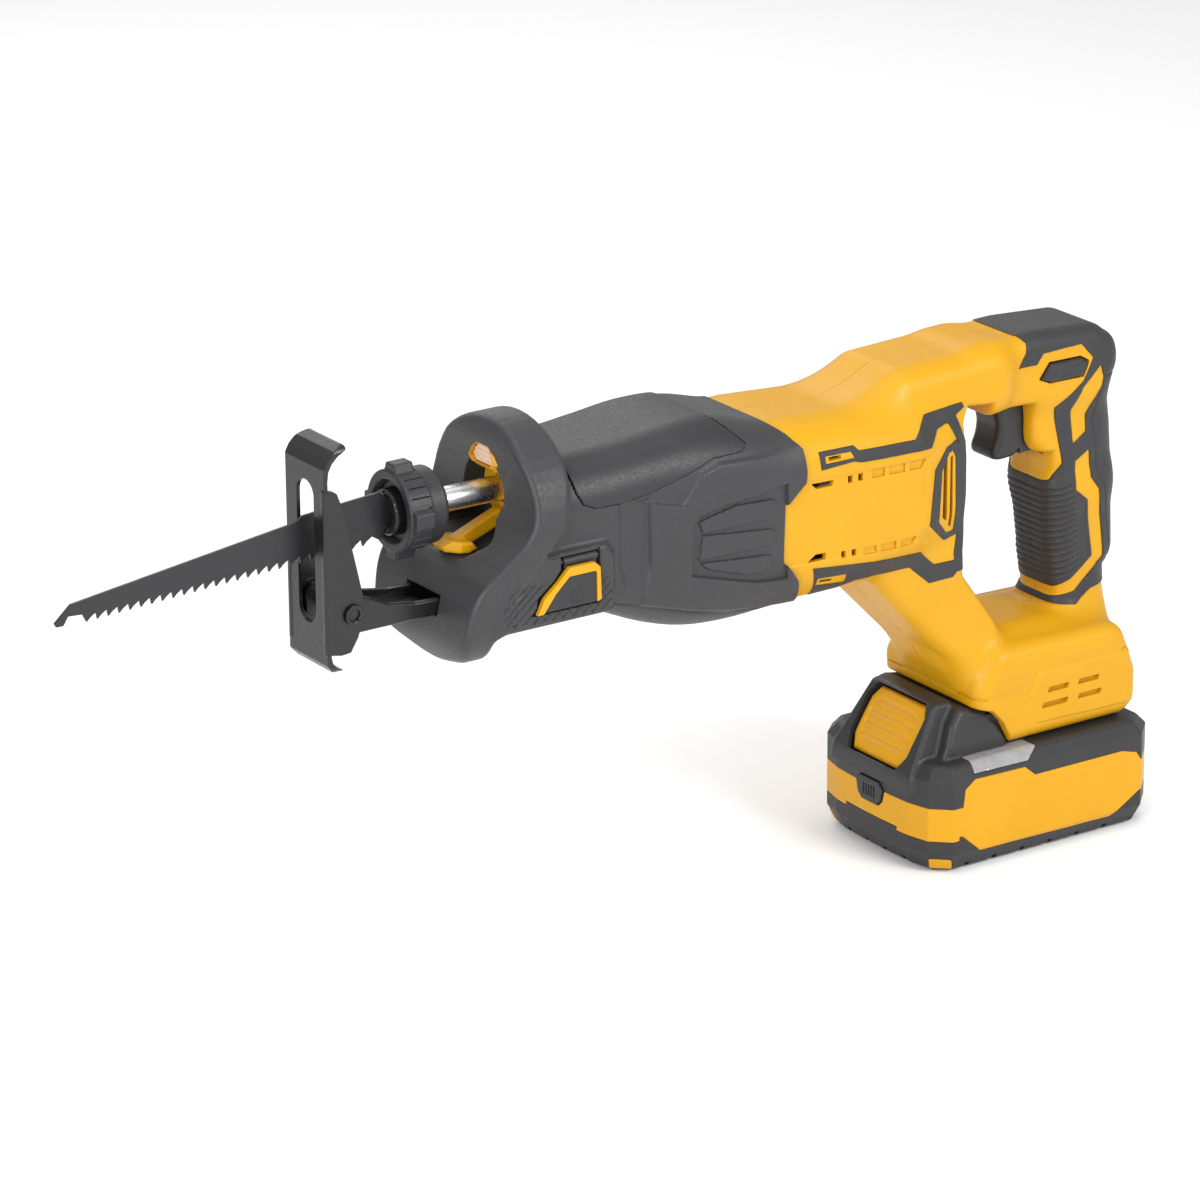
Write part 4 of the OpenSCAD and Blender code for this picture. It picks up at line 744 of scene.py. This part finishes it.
def release(x, y, z):
    u, w = uvw(x, z)
    face = -3.4 - u + 0.0028 * y * y + 0.0036 * (w - 15.2) ** 2
    d = rmax(rmax(poly(y, w, OCT) + 0.25, face, 2.4), u - 4.0, 0.4)
    m = soft(np.maximum(poly(y, w, [(-13.5, 6.5), (13.5, 6.5), (15.2, 10), (15.2, 22.4), (12, 25.4), (-12, 25.4), (-15.2, 22.4), (-15.2, 10)]), u), 1.2)
    d = d + m * (0.25 + 0.75 * (0.5 + 0.5 * np.cos(2 * math.pi * (w - 8.2) / 5.2)) ** 1.6)
    return np.maximum(d, -np.maximum(np.hypot(y, w - 15) - 4.6, 0.8 - u))
# ---- materials ----
def material(name, color, rough, metal=0.0, grain=0.0, grain_scale=2600.0, vary=0.06, patch=38.0, rough_var=0.08, wear=None, wear_amt=0.0,
             coat=0.0, coat_rough=0.2, brushed=None, spec=0.5, sheen=0.0, alpha=None, trans=0.0):
    m = bpy.data.materials.new(name)
    m.use_nodes = True
    nt = m.node_tree
    nd, lk = nt.nodes, nt.links
    for n in list(nd):
        nd.remove(n)
    out = nd.new("ShaderNodeOutputMaterial")
    b = nd.new("ShaderNodeBsdfPrincipled")
    lk.new(b.outputs[0], out.inputs[0])
    tc = nd.new("ShaderNodeTexCoord")
    b.inputs["Metallic"].default_value = metal
    b.inputs["Specular IOR Level"].default_value = spec
    b.inputs["Coat Weight"].default_value = coat
    b.inputs["Coat Roughness"].default_value = coat_rough
    b.inputs["Transmission Weight"].default_value = trans
    if sheen:
        b.inputs["Sheen Weight"].default_value = sheen
        b.inputs["Sheen Roughness"].default_value = 0.5
    # broad tone variation
    n1 = nd.new("ShaderNodeTexNoise")
    n1.inputs["Scale"].default_value = patch
    n1.inputs["Detail"].default_value = 4
    n1.inputs["Roughness"].default_value = 0.55
    lk.new(tc.outputs["Object"], n1.inputs["Vector"])
    ramp = nd.new("ShaderNodeValToRGB")
    ramp.color_ramp.elements[0].position = 0.32
    ramp.color_ramp.elements[1].position = 0.72
    c = np.array(color[:3])
    lo_, hi_ = np.clip(c * (1 - vary), 0, 1), np.clip(c * (1 + vary * 0.6), 0, 1)
    ramp.color_ramp.elements[0].color = (*lo_, 1)
    ramp.color_ramp.elements[1].color = (*hi_, 1)
    lk.new(n1.outputs["Fac"], ramp.inputs["Fac"])
    col = ramp.outputs["Color"]
    # fine speckle in the roughness
    n2 = nd.new("ShaderNodeTexNoise")
    n2.inputs["Scale"].default_value = grain_scale * 0.35
    n2.inputs["Detail"].default_value = 3
    lk.new(tc.outputs["Object"], n2.inputs["Vector"])
    mr = nd.new("ShaderNodeMapRange")
    mr.inputs["From Min"].default_value = 0.3
    mr.inputs["From Max"].default_value = 0.7
    mr.inputs["To Min"].default_value = rough - rough_var
    mr.inputs["To Max"].default_value = rough + rough_var
    lk.new(n2.outputs["Fac"], mr.inputs["Value"])
    lk.new(mr.outputs["Result"], b.inputs["Roughness"])
    if wear is not None and wear_amt > 0:
        g = nd.new("ShaderNodeNewGeometry")
        wr = nd.new("ShaderNodeMapRange")
        wr.inputs["From Min"].default_value = 0.53
        wr.inputs["From Max"].default_value = 0.62
        wr.inputs["To Min"].default_value = 0.0
        wr.inputs["To Max"].default_value = wear_amt
        lk.new(g.outputs["Pointiness"], wr.inputs["Value"])
        mu = nd.new("ShaderNodeMath")
        mu.operation = "MULTIPLY"
        lk.new(wr.outputs["Result"], mu.inputs[0])
        n3 = nd.new("ShaderNodeTexNoise")
        n3.inputs["Scale"].default_value = 420
        n3.inputs["Detail"].default_value = 5
        lk.new(tc.outputs["Object"], n3.inputs["Vector"])
        m3 = nd.new("ShaderNodeMapRange")
        m3.inputs["From Min"].default_value = 0.42
        m3.inputs["From Max"].default_value = 0.62
        lk.new(n3.outputs["Fac"], m3.inputs["Value"])
        lk.new(m3.outputs["Result"], mu.inputs[1])
        mx = nd.new("ShaderNodeMixRGB")
        mx.inputs["Color2"].default_value = (*wear, 1)
        lk.new(mu.outputs[0], mx.inputs["Fac"])
        lk.new(col, mx.inputs["Color1"])
        col = mx.outputs["Color"]
    lk.new(col, b.inputs["Base Color"])
    if grain > 0 or brushed:
        n4 = nd.new("ShaderNodeTexNoise")
        n4.inputs["Scale"].default_value = grain_scale
        n4.inputs["Detail"].default_value = 2
        if brushed:
            mp = nd.new("ShaderNodeMapping")
            mp.inputs["Scale"].default_value = brushed
            lk.new(tc.outputs["Object"], mp.inputs["Vector"])
            lk.new(mp.outputs["Vector"], n4.inputs["Vector"])
        else:
            lk.new(tc.outputs["Object"], n4.inputs["Vector"])
        bp = nd.new("ShaderNodeBump")
        bp.inputs["Strength"].default_value = grain if grain > 0 else 0.15
        bp.inputs["Distance"].default_value = 0.00012
        lk.new(n4.outputs["Fac"], bp.inputs["Height"])
        lk.new(bp.outputs["Normal"], b.inputs["Normal"])
    if alpha is not None:
        b.inputs["Alpha"].default_value = alpha
    return m

def srgb(r, g, b):
    f = lambda v: (v / 255 / 12.92) if v / 255 <= 0.04045 else ((v / 255 + 0.055) / 1.055) ** 2.4
    return (f(r), f(g), f(b))

M = {
    "yellow": material("yellow_shell", srgb(202, 148, 13), 0.42, grain=0.22, grain_scale=2300, vary=0.035, wear=srgb(240, 190, 70), wear_amt=0.12, spec=0.30),
    "yellow2": material("yellow_parts", srgb(204, 148, 11), 0.40, grain=0.15, grain_scale=2600, vary=0.03, wear=srgb(240, 190, 74), wear_amt=0.12, spec=0.30),
    "rubber": material("soft_overmould", srgb(44, 44, 46), 0.54, grain=0.40, grain_scale=2100, vary=0.08, wear=srgb(84, 84, 87), wear_amt=0.12, spec=0.42, sheen=0.04),
    "boot": material("boot_rubber", srgb(46, 46, 48), 0.50, grain=0.42, grain_scale=1900, vary=0.08, wear=srgb(86, 86, 89), wear_amt=0.12, spec=0.50, sheen=0.04),
    "plastic": material("dark_plastic", srgb(42, 42, 44), 0.46, grain=0.30, grain_scale=2400, vary=0.07, wear=srgb(84, 84, 88), wear_amt=0.12, spec=0.42),
    "glossy": material("dark_button", srgb(40, 40, 42), 0.40, grain=0.18, grain_scale=2400, vary=0.06, wear=srgb(70, 70, 73), wear_amt=0.12, spec=0.45),
    "black": material("coated_steel", srgb(19, 19, 20), 0.34, metal=0.0, grain=0.05, grain_scale=1500, vary=0.08, wear=srgb(70, 70, 72), wear_amt=0.05, coat=0.15, coat_rough=0.22, spec=0.45),
    "blade": material("blade_coating", srgb(50, 50, 52), 0.38, metal=0.45, grain=0.10, grain_scale=900, vary=0.05, patch=30, brushed=(0.25, 1, 2.2)),
    "steel": material("polished_steel", (0.88, 0.89, 0.91), 0.28, metal=1.0, grain=0.004, grain_scale=1800, vary=0.05, brushed=(0.15, 1, 1), rough_var=0.02),
    "alu": material("cast_aluminium", (0.62, 0.63, 0.65), 0.45, metal=1.0, grain=0.35, grain_scale=1100, vary=0.08),
    "bronze": material("sintered_bronze", (0.52, 0.36, 0.15), 0.42, metal=1.0, grain=0.25, grain_scale=2600, vary=0.12),
    "board": material("circuit_board", srgb(24, 92, 52), 0.40, grain=0.12, grain_scale=900, vary=0.22, patch=420),
    "copper": material("enamelled_copper", (0.60, 0.24, 0.10), 0.32, metal=1.0, grain=0.5, grain_scale=700, vary=0.12, brushed=(2.5, 0.4, 0.4)),
    "laminate": material("laminated_steel", (0.26, 0.26, 0.28), 0.50, metal=0.9, grain=0.5, grain_scale=900, vary=0.10, brushed=(3.5, 0.1, 0.1)),
    "cell": material("cell_sleeve", srgb(36, 74, 132), 0.34, grain=0.08, grain_scale=900, vary=0.10),
    "clear": material("clear_window", (0.30, 0.30, 0.31), 0.20, grain=0.25, grain_scale=520, vary=0.12, patch=300, spec=0.6, coat=0.4, coat_rough=0.08),
    "lamp": material("lamp_lens", (0.66, 0.42, 0.27), 0.16, grain=0.35, grain_scale=420, vary=0.16, patch=420, spec=0.65, coat=0.6, coat_rough=0.05),
}
SLOT_MAT = {"yellow_plastic": "yellow2", "dark_rubber": "rubber", "dark_plastic": "plastic", "black_steel": "black", "steel": "steel", "blade_steel": "blade",
            "aluminium": "alu", "bronze": "bronze", "clear": "clear", "board": "board", "copper": "copper", "laminate": "laminate", "cell": "cell"}
node_slot = {s["node"]: s["material_slot"] for s in frame["record"]["subparts"]}
for nm, ob in frame["nodes"].items():
    ob.data.materials.clear()
    ob.data.materials.append(M["plastic"] if nm == "lever_pin" else M[SLOT_MAT[node_slot[nm]]])

# ---- making the pieces ----
def put(name, V, F, body, mat, rep=(), sharp=34.0):
    me = bpy.data.meshes.new(name)
    V = np.ascontiguousarray(np.asarray(V, np.float32) * 0.001)
    F = np.ascontiguousarray(np.asarray(F, np.int32))
    k = F.shape[1]
    me.vertices.add(len(V))
    me.vertices.foreach_set("co", V.ravel())
    me.loops.add(F.size)
    me.loops.foreach_set("vertex_index", F.ravel())
    me.polygons.add(len(F))
    me.polygons.foreach_set("loop_start", np.arange(0, F.size, k, dtype=np.int32))
    me.update(calc_edges=True)
    me.validate()
    me.polygons.foreach_set("use_smooth", np.ones(len(me.polygons), bool))
    me.set_sharp_from_angle(angle=math.radians(sharp))
    me.materials.append(M[mat])
    ob = bpy.data.objects.new(name, me)
    bpy.context.scene.collection.objects.link(ob)
    bpy.context.view_layer.update()
    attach(ob, body)
    if rep:
        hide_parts(*rep)
    return ob
def thin(V, F, limit):
    """Collapses edges until about `limit` triangles are left."""
    tris = len(F) * (2 if F.shape[1] == 4 else 1)
    if tris <= limit:
        return V, F
    me = bpy.data.meshes.new("tmp")
    me.vertices.add(len(V))
    me.vertices.foreach_set("co", np.ascontiguousarray(V, np.float32).ravel())
    F = np.ascontiguousarray(F, np.int32)
    me.loops.add(F.size)
    me.loops.foreach_set("vertex_index", F.ravel())
    me.polygons.add(len(F))
    me.polygons.foreach_set("loop_start", np.arange(0, F.size, F.shape[1], dtype=np.int32))
    me.update(calc_edges=True)
    ob = bpy.data.objects.new("tmp", me)
    bpy.context.scene.collection.objects.link(ob)
    md = ob.modifiers.new("d", "DECIMATE")
    md.ratio = limit / tris
    md.use_collapse_triangulate = True
    dg = bpy.context.evaluated_depsgraph_get()
    em = ob.evaluated_get(dg).to_mesh()
    V2 = np.empty(len(em.vertices) * 3, np.float32)
    em.vertices.foreach_get("co", V2)
    em.calc_loop_triangles()
    T = np.empty(len(em.loop_triangles) * 3, np.int32)
    em.loop_triangles.foreach_get("vertices", T)
    ob.evaluated_get(dg).to_mesh_clear()
    bpy.data.objects.remove(ob)
    bpy.data.meshes.remove(me)
    return V2.reshape(-1, 3).astype(float), T.reshape(-1, 3)
import time
def field(name, f, lo, hi, h, body, mat, rep=(), sharp=34.0, limit=120000, mirror=None, least=60, project=2):
    """mirror: None makes one piece; "two" makes NAME_left and NAME_right; "join" makes one piece of both sides."""
    t0 = time.time()
    h = h * COARSE
    g = f if mirror is None else (lambda x, y, z: np.maximum(f(x, y, z), y + 0.04))
    V, F = mesh_field(g, lo, hi, h, project)
    V, F = drop_bits(V, F, least)
    n0 = len(F)
    V, F = thin(V, F, limit)
    print("PIECE", name, n0, len(F), round(time.time() - t0, 1), flush=True)
    if mirror is None:
        return put(name, V, F, body, mat, rep, sharp)
    W = V * np.array([1, -1, 1])
    G = F[:, ::-1]
    if mirror == "join":
        return put(name, np.concatenate([V, W]), np.concatenate([F, G + len(V)]), body, mat, rep, sharp)
    a = put(name + "_left", V, F, body, mat, rep[:1], sharp)
    b = put(name + "_right", W, G, body, mat, rep[1:], sharp)
    return a, b

field("housing", housing, (-140, -41, 44), (60, 0, 226), 0.75, "saw_body", "yellow", ("left_housing", "right_housing"), mirror="two", limit=190000)
field("side_trim", trims, (-126, -40, 124), (-32, -8, 206), 0.42, "saw_body", "rubber", ("side_trims",), mirror="join", limit=70000)
field("grip_skin", grip_skin, (-6, -23, 92), (60, 0, 226), 0.48, "saw_body", "rubber", ("grip_skins",), mirror="join", limit=130000)
field("boot", boot, (-297, -42, 128), (-124, 42, 240), 0.75, "saw_body", "boot", ("front_boot",), limit=195000)
field("boot_top_cover", cover, (-249, -41, 194), (-152, 41, 224), 0.6, "saw_body", "plastic", ("boot_cover",), limit=80000)
field("lamp_bezel", bezel, (-262, -14, 207), (-250, 14, 224), 0.4, "saw_body", "yellow2", ("light_bezel",))
field("lamp_lens", lens, (-261, -10, 210), (-256, 10, 221), 0.35, "saw_body", "lamp", ("light_lens",))
field("nose_bracket", nose_trim, (-284, -14, 177), (-248, 14, 215), 0.45, "saw_body", "yellow2", ("nose_trim",))
field("release_lever", lever, (-261, -39, 157), (-228, -32, 180), 0.35, "lock_lever", "plastic", ("lock_lever",))
field("release_lever_rim", lever_rim, (-261, -39.5, 157), (-228, -35, 177), 0.35, "lock_lever", "yellow2", ("lever_rim",))
field("chuck_collar", collar, (-306, -22, 178), (-284, 22, 223), 0.42, "collar", "plastic", ("clamp_collar",), limit=90000)
field("chuck_body", clamp, (-308, -13, 187), (-274, 13, 214), 0.38, "plunger", "black", ("clamp_body",), limit=60000)
field("shoe_plate", shoe, (-344, -16, 142), (-323, 16, 238.5), 0.42, "shoe", "black", ("shoe",), limit=120000)
field("shoe_arm", shoe_post, (-340, -13, 155), (-225, 13, 175), 0.5, "shoe_post", "black", ("shoe_post",), limit=90000)
field("shoe_pivot_pin", shoe_pin, (-336, -17, 162), (-326, 17, 172), 0.28, "shoe_post", "black", ("shoe_pin",), limit=40000)
field("trigger_lever", trigger, (-10, -10, 164), (14, 10, 198), 0.4, "trigger", "glossy", ("trigger",), limit=60000)
field("lock_off_bar", lock_button, (6, -23, 200), (34, 23, 211), 0.45, "lock_off_button", "glossy", ("lock_off_button",), limit=50000)
field("pack_lower_case", battery_lower, (-67, -44.5, 0), (60, 44.5, 24), 0.7, "battery", "plastic", ("battery_lower_case",), limit=150000)
field("pack_band", battery_band, (-67, -44.5, 3), (60, 44.5, 43), 0.6, "battery", "yellow2", ("battery_band",), limit=130000)
field("pack_upper_case", battery_upper, (-68, -44.5, 16), (60, 44.5, 70), 0.7, "battery", "plastic", ("battery_upper_case",), limit=190000)
field("pack_level_window", windows, (-44, -44.5, 40), (-4, 44.5, 48), 0.4, "battery", "clear", ("level_window",), limit=30000)
field("pack_corner_pad", corner_pads, (-66, -44.5, -0.2), (-44, 44.5, 8), 0.4, "battery", "yellow2", ("corner_pads",), limit=30000)
field("pack_release", release, (-72, -21, 34), (-38, 21, 72), 0.5, "release_button", "yellow2", ("release_button",), limit=90000)
field("pack_gauge_button", gauge, (-67, -11, 20), (-63, 11, 34), 0.28, "gauge_button", "plastic", ("gauge_button",), limit=40000)
bv, bf = extrude(BLADE, -0.65, 0.65)
# screws that hold the two halves together, entered from the right side
def lathe_y(rows, x, z, n=24):
    """Closed turned solid about a line along y: rows are y, radius; the first and last rows lie on the line."""
    V, F = [(x, rows[0][0], z)], []
    for yy, r in rows[1:-1]:
        for k in range(n):
            t = 2 * math.pi * k / n
            V.append((x + r * math.sin(t), yy, z + r * math.cos(t)))
    V.append((x, rows[-1][0], z))
    m = len(rows) - 2
    last = len(V) - 1
    for k in range(n):
        j = (k + 1) % n
        F.append((0, 1 + j, 1 + k))
        for i in range(m - 1):
            a, b = 1 + i * n, 1 + (i + 1) * n
            F.append((a + k, a + j, b + j))
            F.append((a + k, b + j, b + k))
        a = 1 + (m - 1) * n
        F.append((a + k, a + j, last))
    return np.array(V, float), np.array(F)
sv, sf, so = [], [], 0
for qx, qz, qy in ((-132, 140, 26), (-75, 208.6, 17), (-4, 216, 15), (41.5, 197, 14), (43.5, 110, 14), (43, 84, 16), (-30, 88, 19), (-42, 152, 20)):
    v_, f_ = lathe_y([(0.4, 0), (0.4, 1.2), (0.7, 1.5), (qy - 4.0, 1.5), (qy - 4.0, 3.0), (qy - 2.0, 3.0), (qy - 1.6, 2.6), (qy - 1.6, 1.25), (qy - 3.0, 1.25), (qy - 3.0, 0)], qx, qz)
    sv.append(v_)
    sf.append(f_ + so)
    so += len(v_)
put("case_screws", np.concatenate(sv), np.concatenate(sf), "saw_body", "steel", ("housing_screws",), 30.0)
put("saw_blade", bv, bf, "plunger", "blade", ("blade",), 20.0)

# ---- floor, lights, camera ----
fm = bpy.data.materials.new("floor")
fm.use_nodes = True
fb = fm.node_tree.nodes["Principled BSDF"]
fb.inputs["Base Color"].default_value = (0.93, 0.93, 0.93, 1)
fb.inputs["Roughness"].default_value = 0.9
fme = bpy.data.meshes.new("floor")
S_ = 6.0
fme.from_pydata([(-S_, -S_, 0), (S_, -S_, 0), (S_, S_, 0), (-S_, S_, 0)], [], [(0, 1, 2, 3)])
fme.materials.append(fm)
floor = bpy.data.objects.new("floor", fme)
floor.location = (0, 0, -0.0008)
bpy.context.scene.collection.objects.link(floor)

world = bpy.data.worlds.new("studio")
bpy.context.scene.world = world
world.use_nodes = True
bg = world.node_tree.nodes["Background"]
bg.inputs["Color"].default_value = (1, 1, 1, 1)
bg.inputs["Strength"].default_value = 0.52

def area(name, loc, target, size, power, sy=None):
    L = bpy.data.lights.new(name, "AREA")
    L.energy = power
    L.size = size
    if sy:
        L.shape = "RECTANGLE"
        L.size_y = sy
    o = bpy.data.objects.new(name, L)
    o.location = loc
    d = Vector(target) - Vector(loc)
    o.rotation_euler = d.to_track_quat("-Z", "Y").to_euler()
    bpy.context.scene.collection.objects.link(o)
    return o
T_ = (-0.15, 0, 0.15)
area("key", (0.55, -1.9, 1.3), T_, 0.9, 34)
area("top", (-0.2, -0.1, 1.9), T_, 1.4, 12)
area("fill", (-1.7, -0.9, 0.8), T_, 1.0, 22)
area("rim", (0.2, 1.4, 1.2), T_, 1.2, 8)

cd = bpy.data.cameras.new("camera")
cam = bpy.data.objects.new("camera", cd)
bpy.context.scene.collection.objects.link(cam)
cd.lens = 168.0
cd.sensor_width = 36.0
cd.clip_start, cd.clip_end = 0.05, 50
a_, e_, ro_ = math.radians(-34), math.radians(19.8), math.radians(-0.4)
back = np.array([math.sin(a_) * math.cos(e_), -math.cos(a_) * math.cos(e_), math.sin(e_)])
right = np.array([math.cos(a_), math.sin(a_), 0])
upv = np.cross(back, right)
R0 = np.stack([right, upv, back])
c_, s_ = math.cos(ro_), math.sin(ro_)
R1 = np.array([[c_, s_, 0], [-s_, c_, 0], [0, 0, 1]]) @ R0
mw = Matrix([[*R1[:, 0], -1.4079], [*R1[:, 1], -1.7847], [*R1[:, 2], 0.9175], [0, 0, 0, 1]])
cam.matrix_world = mw
bpy.context.scene.camera = cam
bpy.context.scene.view_settings.view_transform = "Standard"
